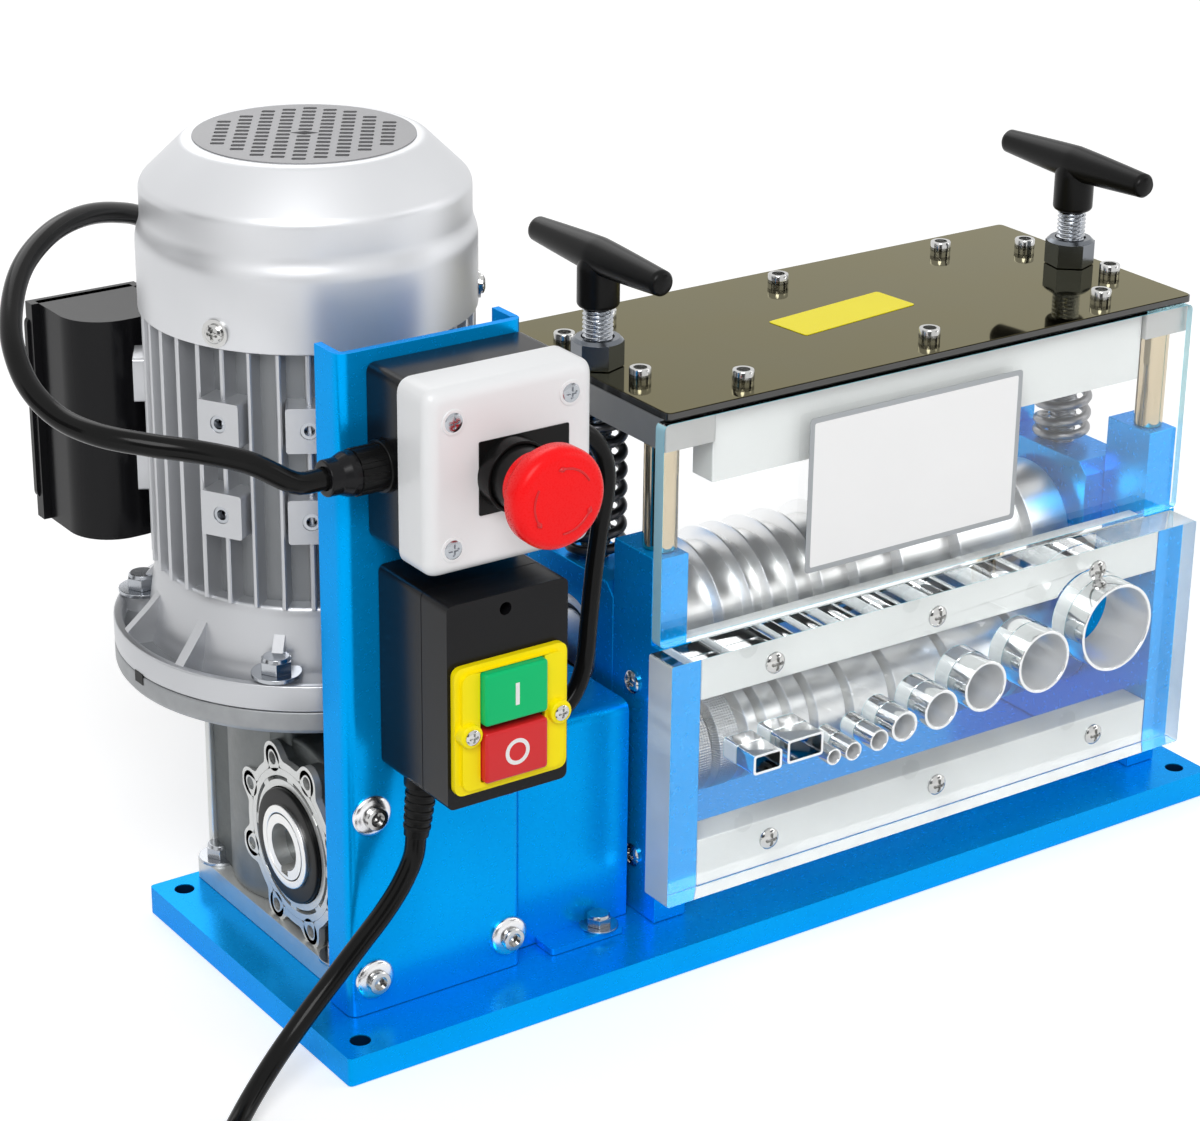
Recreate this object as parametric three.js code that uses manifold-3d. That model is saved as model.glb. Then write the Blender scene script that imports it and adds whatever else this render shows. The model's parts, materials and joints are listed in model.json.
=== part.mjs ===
import * as THREE from 'three';
import { mergeVertices } from 'three/addons/utils/BufferGeometryUtils.js';
import Module from 'manifold-3d';

// Wire stripping machine. Millimetres, X to the right along the rollers, Y to the back,
// Z up, origin at the centre of the underside of the base plate.

const wasm = await Module();
wasm.setup();

// Clearances
const gap = 0.3;
const runningGap = 0.4;
const weldStep = 0.0001;
const reach = 400;

// Counts of flat sides on round work
const sides = { large: 28, medium: 18, small: 14, tiny: 10, bolt: 6 };

// Base and the machine's frame
const base = {
  length: 430, depth: 158, thick: 11.5, corner: 2, holeRadius: 4, holeFromEnd: 10.4, holeFromEdge: 10,
};
const deck = base.thick + gap;
const plate = {
  thick: 15, leftOuter: -64.5, rightOuter: 202.5, front: -52.3, footFront: -57.7, stepHeight: 129.6,
  back: 65, top: 165, slotFront: -27, slotBack: 34.5, slotBottom: 77.5, bearingRadius: 16,
};
const leftInner = plate.leftOuter + plate.thick;
const rightInner = plate.rightOuter - plate.thick;
const feedAxis = { y: 1.5, z: 57.5 };
const bladeAxis = { y: (plate.slotFront + plate.slotBack) / 2, z: 111.5 };
const post = { radius: 6, leftX: -55.5, rightX: 195, frontY: -43, backY: 50.5, top: 207.2 };
const bar = { width: 23.5, thick: 12.5, leftOuter: -61.5, rightOuter: 204, back: 63 };
const barBottom = post.top + gap;
const barTop = barBottom + bar.thick;
const lock = { nutFlats: 18, nutHeight: 11.4, boreRadius: 6.4, neckRadius: 7.6 };
const screw = { leftX: -52, rightX: 190, radius: 6, pointRadius: 3.5, pointHeight: 4 };
const lid = { left: -61.5, right: 204, front: -56, back: 63.3, thick: 3, holeRadius: 8.2, corner: 3 };
const lidBottom = barTop + gap;
const lidTop = lidBottom + lid.thick;

// White rails and clear guards
const rail = { depth: 13, front: -50, rearFront: 40, bottom: 190 };
const lowGuard = { left: -69.5, right: 200.7, front: -73, back: -58.1, bottom: 27, top: 129.3 };
const highGuard = { left: -64.5, right: 203, front: -58, bottom: 129.7, top: 219.9, corner: 3 };
const guardRail = { back: -44, highBottom: 107, highTop: 128.5, lowBottom: 27, lowTop: 47 };

// Wire guides through the lower guard: centre and outer radius of the round ones
const guide = { rim: -84, wall: 1.3, thinWall: 0.8, flatWall: 1.1, flatCorner: 1.6 };
const roundGuides = [
  { x: 1.6, z: 77.5, radius: 3.5 },
  { x: 11.3, z: 77.4, radius: 4 },
  { x: 24.2, z: 78.7, radius: 4.6 },
  { x: 36.9, z: 81.3, radius: 6.5 },
  { x: 55.6, z: 83.7, radius: 8.5 },
  { x: 78.5, z: 88.1, radius: 10.9 },
  { x: 109.4, z: 91.2, radius: 13.5 },
  { x: 148.7, z: 96.8, radius: 19 },
];
const flatGuides = [
  { left: -38, right: -24.3, bottom: 80, top: 88.5 },
  { left: -21.7, right: -4.2, bottom: 80.5, top: 90.5 },
];

// Rollers and bearing blocks
const roller = { ridge: 22, groove: 16, throat: 2.3, shaftRadius: 9, shaftStart: -152 };
const coupling = { radius: 24, left: -114, right: -74, splitWidth: 3, splitRadius: 21 };
const bladeSet = { rim: 32.5, rimHalf: 0.5, footHalf: 1.6, spacer: 27, endRadius: 20, endWidth: 4 };
const block = { thick: 25, bottom: 84, top: 145, chamfer: 5, shaftRadius: 12, shaftEnd: 2, pocketFloor: 127 };
const handle = { rise: 12, hubLength: 20, hubRadius: 8.5, barHalf: 42.5, middle: 7, end: 5, domeHeight: 9 };
const hubBottom = lidTop + gap + lock.nutHeight + handle.rise;
const gripHeight = hubBottom + handle.hubLength;
const spring = { bottom: 145.6, wire: 2, meanRadius: 10.4, curls: 8.5, stepsPerCurl: 8, wireSides: 5 };

// Worm gearbox and motor
const gear = {
  left: -196, right: -118, drumLeft: -186, drumRight: -128, drumRadius: 41, footLeft: -195, footRight: -121,
  footTop: 21, footFront: -34, footBack: 76, coverRadius: 34, coverFace: -192.4, lobes: 8, lobeRadius: 7,
  lobePitch: 34, sealRadius: 23, sideFront: 10, sideBack: 67, top: 103, neckRadius: 36, cavityRadius: 33,
  cavityHalf: 15, wheelRadius: 28.6, wheelHalf: 11, hubRadius: 13, boreRadius: 9.4, keyWidth: 5,
  keyDepth: 2.3,
  wormRadius: 10.6, wormCavity: 14, wormBottom: 34, wormTop: 82, footHole: 4.5,
};
const wormOffset = 40;
const motorAxis = { x: -156.5, y: feedAxis.y + wormOffset };
const flange = { radius: 77.6, bottom: 115.5, split: 124.8, top: 135, bore: 13 };
const motor = {
  coneRadius: 64, shieldTop: 159, shieldRadius: 60, coreRadius: 54, finRadius: 62, fins: 36, finThick: 2,
  top: 257,
  statorRadius: 31, statorBottom: 168, statorTop: 246, padSize: 17, padReach: 66, padLow: 186, padHigh: 221,
  rotorRadius: 30, rotorBottom: 176, rotorTop: 238, shaftRadius: 8, shaftTop: 287,
};
const padAngles = [-150, -120, -60, -30, 30, 150];
const cap = {
  radius: 63, waist: 285.3, waistTop: 290.7, upperRadius: 61, shoulder: 304.6, topRadius: 44.6, top: 321,
  wall: 1.6,
  slots: 10, slotWidth: 5, slotInner: 14, slotOuter: 39,
};
const fan = {
  bottom: 262, top: 284, hubRadius: 14, bladeRadius: 52, blades: 7, bladeThick: 2.5, discThick: 3,
};
const terminalBox = { left: -182, right: -131, front: 88, back: 126, bottom: 172, top: 236, corner: 4 };
const capacitor = { left: -228, right: -188, front: 88, bottom: 158, top: 246, corner: 18, lip: 3 };
const bracket = { left: -232, right: -145, bottom: 166, top: 240, thick: 2.6 };

// Blue sheet metal
const panel = { left: -200, right: -124.5, front: -55, thick: 3, returnBack: -39, top: 271.5 };
const panelBolt = { leftX: -190, rightX: -131, lowZ: 26, highZ: 94, radius: 6.5, height: 4, rimHeight: 1.3 };
const tunnel = {
  left: -120, right: -69, front: -45, back: 48, top: 104, thick: 2.5, tabFront: -57, tabLeft: -112,
  tabRight: -78,
};
const tunnelBolt = { x: -86, y: -50.6, flats: 9, height: 5 };

// Emergency stop station
const stopBox = { centreX: -156.4, centreZ: 234.5, size: 65, depth: 22.4, wall: 2.5, corner: 4 };
const stopCover = {
  size: 68, front: -97, back: -78, wall: 2.5, corner: 6, bevel: 5, collarRadius: 17, collarFront: -100,
};
const stopKnob = {
  x: -157.5, z: 234.2, radius: 19.3, widest: -125.5, front: -130.5, faceRadius: 15, under: -120, neck: 13.8,
  neckBack: -99,
};
const stopStem = { radius: 6, front: -124, back: -64, collar: 9, collarFront: -76, collarBack: -73 };
const gland = {
  radius: 8.5, nutWidth: 9, tipRadius: 6.5, leftTip: -212.6, rightNut: 2, rightTip: -120.5, y: -66, z: 233,
};

// Start and stop switch
const switchBox = {
  left: -185.5, right: -135.5, bottom: 113.5, top: 191.5, front: -100.6, wall: 2.5, corner: 3,
};
const bezel = {
  left: -184.2, right: -137.5, bottom: 119.5, top: 168.5, front: -105, corner: 4, skirt: 1.4, cupBack: -84,
  cupWall: 2,
  earRadius: 4.75, earFront: -108.6, earLeft: -179.4, earRight: -142.4, earHeight: 143.5,
};
const pushButton = {
  left: -174.4, right: -148.4, front: -108.6, back: -91, startBottom: 146, startTop: 166, stopBottom: 124,
  stopTop: 143.5,
};
const grommet = { radius: 6.5, height: 4, mainsX: -177.6, mainsY: -70, linkY: -71, linkZ: 120, linkReach: 4 };
const relief = { length: 20, root: 5.6, tip: 4.6, tilt: 7.5 };

// Leads
const mains = { radius: 3.9, sides: 8 };
const lead = { radius: 4, sides: 8 };
const link = { radius: 3.4, sides: 8 };
const stepsPerDiameter = 0.4;

// A coil of the spare mains cord on the floor and its plug
const coil = {
  centreX: -312, centreY: -167.5, outerRadius: 54, pitch: 8.8, lowTurns: 3, crossTurns: 0.25,
  highTurns: 2.25,
  stepsPerTurn: 24, sides: 6, lead: 9, tail: 64, tailSteps: 4, floor: 4.3,
};
const plug = {
  length: 44, halfWidth: 19, halfHeight: 12.2, neck: 16, neckRadius: 6, pinRadius: 2.4, pinLength: 19,
  pinSpread: 9.5, corner: 8,
};

// Colour, roughness and metalness of each material
const paint = {
  blue: [0x0d97e6, 0.25, 0.0],
  black: [0x17181a, 0.45, 0.0],
  gloss: [0x2b2b29, 0.1, 0.0],
  steel: [0xb9bcc0, 0.3, 1.0],
  zinc: [0xc9c9c2, 0.35, 1.0],
  brass: [0xc8a250, 0.3, 1.0],
  bright: [0xd9dadc, 0.2, 1.0],
  cast: [0xb4b8bc, 0.45, 0.9],
  silver: [0xc9ccd0, 0.4, 0.6],
  white: [0xf2f2f0, 0.4, 0.0],
  clear: [0xdff3f8, 0.05, 0.0],
  red: [0xd8231f, 0.35, 0.0],
  green: [0x2fae55, 0.4, 0.0],
  yellow: [0xf2b200, 0.45, 0.0],
  dark: [0x3a3b3d, 0.4, 0.9],
};

// Signed volume of an indexed surface, positive when it faces outwards
function signedVolume(points, index) {
  let sum = 0;
  for (let i = 0; i < index.length; i += 3) {
    const [a, b, c] = [index[i] * 3, index[i + 1] * 3, index[i + 2] * 3];
    sum += points[a] * (points[b + 1] * points[c + 2] - points[b + 2] * points[c + 1]);
    sum += points[a + 1] * (points[b + 2] * points[c] - points[b] * points[c + 2]);
    sum += points[a + 2] * (points[b] * points[c + 1] - points[b + 1] * points[c]);
  }
  return sum / 6;
}

// Closed solid from a three.js surface
function solid(geometry) {
  geometry.deleteAttribute('normal');
  geometry.deleteAttribute('uv');
  const merged = mergeVertices(geometry, weldStep);
  const points = new Float32Array(merged.attributes.position.array);
  const source = merged.index.array;
  const kept = [];
  for (let i = 0; i < source.length; i += 3) {
    const [a, b, c] = [source[i], source[i + 1], source[i + 2]];
    if (a !== b && b !== c && c !== a) kept.push(a, b, c);
  }
  if (signedVolume(points, kept) < 0) {
    for (let i = 0; i < kept.length; i += 3) [kept[i + 1], kept[i + 2]] = [kept[i + 2], kept[i + 1]];
  }
  const triangles = Uint32Array.from(kept);
  return new wasm.Manifold(new wasm.Mesh({ numProp: 3, vertProperties: points, triVerts: triangles }));
}

// Block between two corners
function box(x0, x1, y0, y1, z0, z1) {
  const geometry = new THREE.BoxGeometry(x1 - x0, y1 - y0, z1 - z0);
  geometry.translate((x0 + x1) / 2, (y0 + y1) / 2, (z0 + z1) / 2);
  return solid(geometry);
}

// Outline pushed along an axis. The outline lies in (x, y), (y, z) or (x, z).
function prism(shape, axis, from, to, curveSegments = 6) {
  const geometry = new THREE.ExtrudeGeometry(shape, { depth: to - from, bevelEnabled: false, curveSegments });
  geometry.translate(0, 0, from);
  const turn = new THREE.Matrix4();
  if (axis === 'x') turn.set(0, 0, 1, 0, 1, 0, 0, 0, 0, 1, 0, 0, 0, 0, 0, 1);
  if (axis === 'y') turn.set(1, 0, 0, 0, 0, 0, 1, 0, 0, 1, 0, 0, 0, 0, 0, 1);
  geometry.applyMatrix4(turn);
  return solid(geometry);
}

// Rectangle with rounded corners
function roundedOutline(u0, u1, v0, v1, radius) {
  const shape = new THREE.Shape();
  shape.moveTo(u0 + radius, v0);
  shape.lineTo(u1 - radius, v0);
  shape.absarc(u1 - radius, v0 + radius, radius, -Math.PI / 2, 0, false);
  shape.lineTo(u1, v1 - radius);
  shape.absarc(u1 - radius, v1 - radius, radius, 0, Math.PI / 2, false);
  shape.lineTo(u0 + radius, v1);
  shape.absarc(u0 + radius, v1 - radius, radius, Math.PI / 2, Math.PI, false);
  shape.lineTo(u0, v0 + radius);
  shape.absarc(u0 + radius, v0 + radius, radius, Math.PI, Math.PI * 1.5, false);
  return shape;
}

// Outline through a list of corners
function corners(list) {
  return new THREE.Shape(list.map(([u, v]) => new THREE.Vector2(u, v)));
}

// Turned piece. Profile rows are radius and place along the axis; at is where the axis lies
// in the other two directions.
function turned(profile, axis, at, count) {
  const points = profile.map(([radius, along]) => new THREE.Vector2(radius, along));
  const geometry = new THREE.LatheGeometry(points, count);
  if (axis === 'x') geometry.rotateZ(-Math.PI / 2);
  if (axis === 'z') geometry.rotateX(Math.PI / 2);
  if (axis === 'x') geometry.translate(0, at[0], at[1]);
  if (axis === 'y') geometry.translate(at[0], 0, at[1]);
  if (axis === 'z') geometry.translate(at[0], at[1], 0);
  return solid(geometry);
}

// Round bar
function rod(radius, axis, at, from, to, count = sides.small) {
  return turned([[0, from], [radius, from], [radius, to], [0, to]], axis, at, count);
}

// Round bar with a bore
function pipe(radius, bore, axis, at, from, to, count = sides.small) {
  return turned([[bore, from], [radius, from], [radius, to], [bore, to], [bore, from]], axis, at, count);
}

// Smooth curve through hand-chosen points
function route(points) {
  return new THREE.CatmullRomCurve3(
    points.map(([x, y, z]) => new THREE.Vector3(x, y, z)), false, 'centripetal',
  );
}

// Cord along a route
function cord(points, size) {
  const curve = route(points);
  const section = new THREE.Shape();
  for (let i = 0; i < size.sides; i += 1) {
    const angle = (i * 2 * Math.PI) / size.sides;
    const corner = [size.radius * Math.cos(angle), size.radius * Math.sin(angle)];
    if (i === 0) section.moveTo(...corner);
    else section.lineTo(...corner);
  }
  const steps = Math.round((curve.getLength() / (size.radius * 2)) * stepsPerDiameter);
  return solid(new THREE.ExtrudeGeometry(section, { steps, extrudePath: curve, bevelEnabled: false }));
}

// Tube along a dense list of points with end caps, the section carried along without twist
function wound(points, radius, count) {
  const rings = points.length;
  const tangents = points.map((point, i) => {
    const before = points[Math.max(i - 1, 0)];
    const after = points[Math.min(i + 1, rings - 1)];
    return after.clone().sub(before).normalize();
  });
  const start = Math.abs(tangents[0].z) < 0.9 ? new THREE.Vector3(0, 0, 1) : new THREE.Vector3(1, 0, 0);
  let side = start.clone().cross(tangents[0]).normalize();
  const place = [];
  for (let i = 0; i < rings; i += 1) {
    side = side.clone().addScaledVector(tangents[i], -side.dot(tangents[i])).normalize();
    const up = tangents[i].clone().cross(side);
    for (let j = 0; j < count; j += 1) {
      const angle = (j * 2 * Math.PI) / count;
      const offset = side.clone().multiplyScalar(Math.cos(angle)).addScaledVector(up, Math.sin(angle));
      place.push(...points[i].clone().addScaledVector(offset, radius).toArray());
    }
  }
  place.push(...points[0].toArray(), ...points[rings - 1].toArray());
  const first = rings * count;
  const last = first + 1;
  const index = [];
  for (let i = 0; i < rings - 1; i += 1) {
    for (let j = 0; j < count; j += 1) {
      const [a, b] = [i * count + j, i * count + ((j + 1) % count)];
      index.push(a, b, b + count, a, b + count, a + count);
    }
  }
  for (let j = 0; j < count; j += 1) {
    const next = (j + 1) % count;
    index.push(first, next, j);
    index.push(last, (rings - 1) * count + j, (rings - 1) * count + next);
  }
  const geometry = new THREE.BufferGeometry();
  geometry.setAttribute('position', new THREE.BufferAttribute(new Float32Array(place), 3));
  geometry.setIndex(index);
  return solid(geometry);
}

// Least gap of a wound tube to itself, measured on points at least a few steps apart
function leastGap(points, radius, skip) {
  let least = Infinity;
  for (let i = 0; i < points.length; i += 1) {
    for (let j = i + skip; j < points.length; j += 1) {
      least = Math.min(least, points[i].distanceTo(points[j]));
    }
  }
  return least - 2 * radius;
}

// Named mesh of a finished solid
const part = new THREE.Group();
function add(name, body, look) {
  const mesh = body.getMesh();
  const geometry = new THREE.BufferGeometry();
  geometry.setAttribute('position', new THREE.BufferAttribute(new Float32Array(mesh.vertProperties), 3));
  geometry.setIndex(new THREE.BufferAttribute(new Uint32Array(mesh.triVerts), 1));
  geometry.computeVertexNormals();
  const [color, roughness, metalness] = look;
  const node = new THREE.Mesh(geometry, new THREE.MeshStandardMaterial({ color, roughness, metalness }));
  node.name = name;
  part.add(node);
}

// Base plate with four fixing holes
function basePlate() {
  const [endX, endY] = [base.length / 2, base.depth / 2];
  let body = prism(roundedOutline(-endX, endX, -endY, endY, base.corner), 'z', 0, base.thick, 2);
  for (const x of [-endX + base.holeFromEnd, endX - base.holeFromEnd]) {
    for (const y of [-endY + base.holeFromEdge, endY - base.holeFromEdge]) {
      body = body.subtract(rod(base.holeRadius, 'z', [x, y], -gap, base.thick + gap, sides.tiny));
    }
  }
  add('base_plate', body, paint.blue);
}

// Upright side plate with its slot for the bearing block and the bore for the feed roller
function sidePlate(name, outer) {
  const outline = corners([
    [plate.footFront, deck], [plate.back, deck], [plate.back, plate.top], [plate.slotBack, plate.top],
    [plate.slotBack, plate.slotBottom], [plate.slotFront, plate.slotBottom], [plate.slotFront, plate.top],
    [plate.front, plate.top], [plate.front, plate.stepHeight], [plate.footFront, plate.stepHeight],
  ]);
  const body = prism(outline, 'x', outer, outer + plate.thick);
  const bore = rod(
    plate.bearingRadius, 'x', [feedAxis.y, feedAxis.z], outer - gap, outer + plate.thick + gap,
    sides.medium,
  );
  add(name, body.subtract(bore), paint.blue);
}

// Bar across two posts with the threaded bush and lock nut of a pressure screw
function topBar(name, left, screwX) {
  let body = box(left, left + bar.width, plate.front, bar.back, barBottom, barTop);
  const neckTop = lidTop + gap;
  body = body.add(rod(lock.neckRadius, 'z', [screwX, bladeAxis.y], barTop - gap, neckTop + gap));
  const across = lock.nutFlats / Math.sqrt(3);
  body = body.add(rod(across, 'z', [screwX, bladeAxis.y], neckTop, neckTop + lock.nutHeight, sides.bolt));
  body = body.subtract(rod(lock.boreRadius, 'z', [screwX, bladeAxis.y], 0, reach));
  add(name, body, paint.cast);
}

// Black top plate with a hole round each lock nut's neck
function topPlate() {
  let body = prism(
    roundedOutline(lid.left, lid.right, lid.front, lid.back, lid.corner), 'z', lidBottom, lidTop, 3,
  );
  for (const x of [screw.leftX, screw.rightX]) {
    body = body.subtract(rod(lid.holeRadius, 'z', [x, bladeAxis.y], 0, reach));
  }
  add('top_plate', body, paint.gloss);
}

function posts() {
  for (const [sideName, x] of [['left', post.leftX], ['right', post.rightX]]) {
    for (const [endName, y] of [['front', post.frontY], ['rear', post.backY]]) {
      add(
        `${sideName}_${endName}_post`,
        rod(post.radius, 'z', [x, y], plate.top + gap, post.top, sides.small), paint.brass,
      );
    }
  }
}

// White rails: two under the top plate, two behind the lower guard
function rails() {
  const [left, right] = [bar.leftOuter + bar.width + gap, bar.rightOuter - bar.width - gap];
  for (const [name, front] of [['front_top_rail', rail.front], ['rear_top_rail', rail.rearFront]]) {
    add(name, box(left, right, front, front + rail.depth, rail.bottom, barTop), paint.white);
  }
  const largest = roundGuides[roundGuides.length - 1];
  const [start, end] = [leftInner + gap, rightInner - gap];
  const wide = box(start, end, plate.footFront, guardRail.back, guardRail.highBottom, guardRail.highTop);
  const arch = rod(largest.radius + gap, 'y', [largest.x, largest.z], guide.rim, 0, sides.medium);
  add('upper_guard_rail', wide.subtract(arch), paint.white);
  add(
    'lower_guard_rail',
    box(start, end, plate.footFront, guardRail.back, guardRail.lowBottom, guardRail.lowTop), paint.white,
  );
}

// Rounded rectangle of a flat guide, grown by a margin
function flatOutline(flat, margin) {
  return roundedOutline(
    flat.left - margin, flat.right + margin, flat.bottom - margin, flat.top + margin,
    guide.flatCorner + margin,
  );
}

// Thick clear guard, bored for the wire guides, and the clear sheet above it
function guards() {
  let low = box(lowGuard.left, lowGuard.right, lowGuard.front, lowGuard.back, lowGuard.bottom, lowGuard.top);
  for (const { x, z, radius } of roundGuides) {
    low = low.subtract(rod(
      radius + gap, 'y', [x, z], guide.rim, 0, radius > roundGuides[4].radius ? sides.small : sides.tiny,
    ));
  }
  for (const flat of flatGuides) {
    low = low.subtract(prism(flatOutline(flat, gap), 'y', guide.rim, 0, 2));
  }
  add('lower_guard', low, paint.clear);
  const sheet = roundedOutline(
    highGuard.left, highGuard.right, highGuard.bottom, highGuard.top, highGuard.corner,
  );
  add('upper_guard', prism(sheet, 'y', highGuard.front, plate.front - gap, 2), paint.clear);
}

// Polished guides: eight round tubes and two flat ones
function guides() {
  roundGuides.forEach(({ x, z, radius }, i) => {
    const wall = i < 3 ? guide.thinWall : guide.wall;
    const count = radius > roundGuides[4].radius ? sides.small : sides.tiny;
    const tube = pipe(radius, radius - wall, 'y', [x, z], guide.rim, lowGuard.back - gap, count);
    add(`round_guide_${i + 1}`, tube, paint.bright);
  });
  flatGuides.forEach((flat, i) => {
    const outside = prism(flatOutline(flat, 0), 'y', guide.rim, lowGuard.back - gap, 2);
    const inside = prism(flatOutline(flat, -guide.flatWall), 'y', guide.rim - gap, 0, 2);
    add(`flat_guide_${i + 1}`, outside.subtract(inside), paint.bright);
  });
}

// Places of the ten blades along the rollers, one behind each guide
const bladeStations = [
  ...flatGuides.map(({ left, right }) => (left + right) / 2),
  ...roundGuides.map(({ x }) => x),
];

// Grooved feed roller with its journals, the shaft to the gearbox and the coupling
function feedRoller() {
  const journal = plate.bearingRadius - gap;
  const [start, end] = [leftInner + runningGap, rightInner - runningGap];
  const profile = [
    [0, roller.shaftStart], [roller.shaftRadius, roller.shaftStart], [roller.shaftRadius, coupling.left],
    [coupling.radius, coupling.left], [coupling.radius, coupling.right], [journal, coupling.right],
    [journal, start], [roller.ridge, start],
  ];
  for (const x of bladeStations) {
    profile.push([roller.ridge, x - roller.throat], [roller.groove, x], [roller.ridge, x + roller.throat]);
  }
  profile.push([roller.ridge, end], [journal, end], [journal, plate.rightOuter], [0, plate.rightOuter]);
  let body = turned(profile, 'x', [feedAxis.y, feedAxis.z], sides.medium);
  const middle = (coupling.left + coupling.right) / 2;
  const [splitStart, splitEnd] = [middle - coupling.splitWidth / 2, middle + coupling.splitWidth / 2];
  const ring = pipe(
    coupling.radius + gap, coupling.splitRadius, 'x', [feedAxis.y, feedAxis.z], splitStart, splitEnd,
    sides.medium,
  );
  body = body.subtract(ring);
  add('feed_roller', body, paint.steel);
}

// Blade shaft and the stack of blades and spacers on it
function bladeRoller() {
  const at = [bladeAxis.y, bladeAxis.z];
  const [shaftLeft, shaftRight] = [plate.leftOuter + block.shaftEnd, plate.rightOuter - block.shaftEnd];
  add('blade_shaft', rod(block.shaftRadius, 'x', at, shaftLeft, shaftRight, sides.medium), paint.steel);
  const [start, end] = [
    plate.leftOuter + block.thick + runningGap, plate.rightOuter - block.thick - runningGap,
  ];
  const bore = block.shaftRadius + gap;
  const profile = [
    [bore, start], [bladeSet.endRadius, start], [bladeSet.endRadius, start + bladeSet.endWidth],
  ];
  profile.push([bladeSet.spacer, start + bladeSet.endWidth]);
  for (const x of bladeStations) {
    profile.push([bladeSet.spacer, x - bladeSet.footHalf], [bladeSet.rim, x - bladeSet.rimHalf]);
    profile.push([bladeSet.rim, x + bladeSet.rimHalf], [bladeSet.spacer, x + bladeSet.footHalf]);
  }
  profile.push([bladeSet.spacer, end - bladeSet.endWidth], [bladeSet.endRadius, end - bladeSet.endWidth]);
  profile.push([bladeSet.endRadius, end], [bore, end], [bore, start]);
  add('blade_stack', turned(profile, 'x', at, sides.medium), paint.steel);
}

// Sliding bearing block with the shaft bore and a pocket for the point of its pressure screw
function bearingBlock(name, left, screwX) {
  const [front, back] = [plate.slotFront + gap, plate.slotBack - gap];
  const outline = corners([
    [front, block.bottom], [back, block.bottom], [
      back, block.top - block.chamfer,
    ], [back - block.chamfer, block.top],
    [front + block.chamfer, block.top], [front, block.top - block.chamfer],
  ]);
  let body = prism(outline, 'x', left, left + block.thick);
  const bore = block.shaftRadius + runningGap;
  const boreAt = [bladeAxis.y, bladeAxis.z];
  body = body.subtract(rod(bore, 'x', boreAt, left - gap, left + block.thick + gap, sides.medium));
  body = body.subtract(rod(lock.boreRadius, 'z', [screwX, bladeAxis.y], block.pocketFloor, reach));
  add(name, body, paint.blue);
}

// Threaded pressure screw and the T handle on top of it
function pressureScrew(sideName, x) {
  const tip = block.pocketFloor + gap;
  const top = hubBottom + handle.hubRadius;
  const at = [x, bladeAxis.y];
  const profile = [
    [0, tip], [screw.pointRadius, tip], [screw.radius, tip + screw.pointHeight], [screw.radius, top],
    [0, top],
  ];
  add(`${sideName}_screw`, turned(profile, 'z', at, sides.small), paint.zinc);
  const hubTop = gripHeight + handle.domeHeight;
  let body = turned([
    [0, hubBottom], [handle.hubRadius, hubBottom], [handle.hubRadius, gripHeight],
    [handle.middle, hubTop - gap], [0, hubTop],
  ], 'z', at, sides.small);
  const grip = turned([
    [0, -handle.barHalf], [handle.end - gap, -handle.barHalf], [handle.end, -handle.barHalf + gap],
    [handle.middle, 0], [
      handle.end, handle.barHalf - gap,
    ], [handle.end - gap, handle.barHalf], [0, handle.barHalf],
  ], 'y', [x, gripHeight], sides.small).translate([0, bladeAxis.y, 0]);
  body = body.add(grip).subtract(rod(lock.boreRadius, 'z', at, 0, top + gap));
  add(`${sideName}_handle`, body, paint.black);
}

// Compression spring round a pressure screw
function pressureSpring(name, x) {
  const points = [];
  const count = spring.curls * spring.stepsPerCurl;
  const [low, high] = [spring.bottom + spring.wire, post.top - spring.wire];
  for (let i = 0; i <= count; i += 1) {
    const angle = (i * 2 * Math.PI) / spring.stepsPerCurl;
    const height = low + ((high - low) * i) / count;
    const [dx, dy] = [spring.meanRadius * Math.cos(angle), spring.meanRadius * Math.sin(angle)];
    points.push(new THREE.Vector3(x + dx, bladeAxis.y + dy, height));
  }
  console.log(
    name, 'least gap between curls', leastGap(points, spring.wire, spring.stepsPerCurl - 1).toFixed(2),
  );
  add(name, wound(points, spring.wire, spring.wireSides), paint.dark);
}

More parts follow.
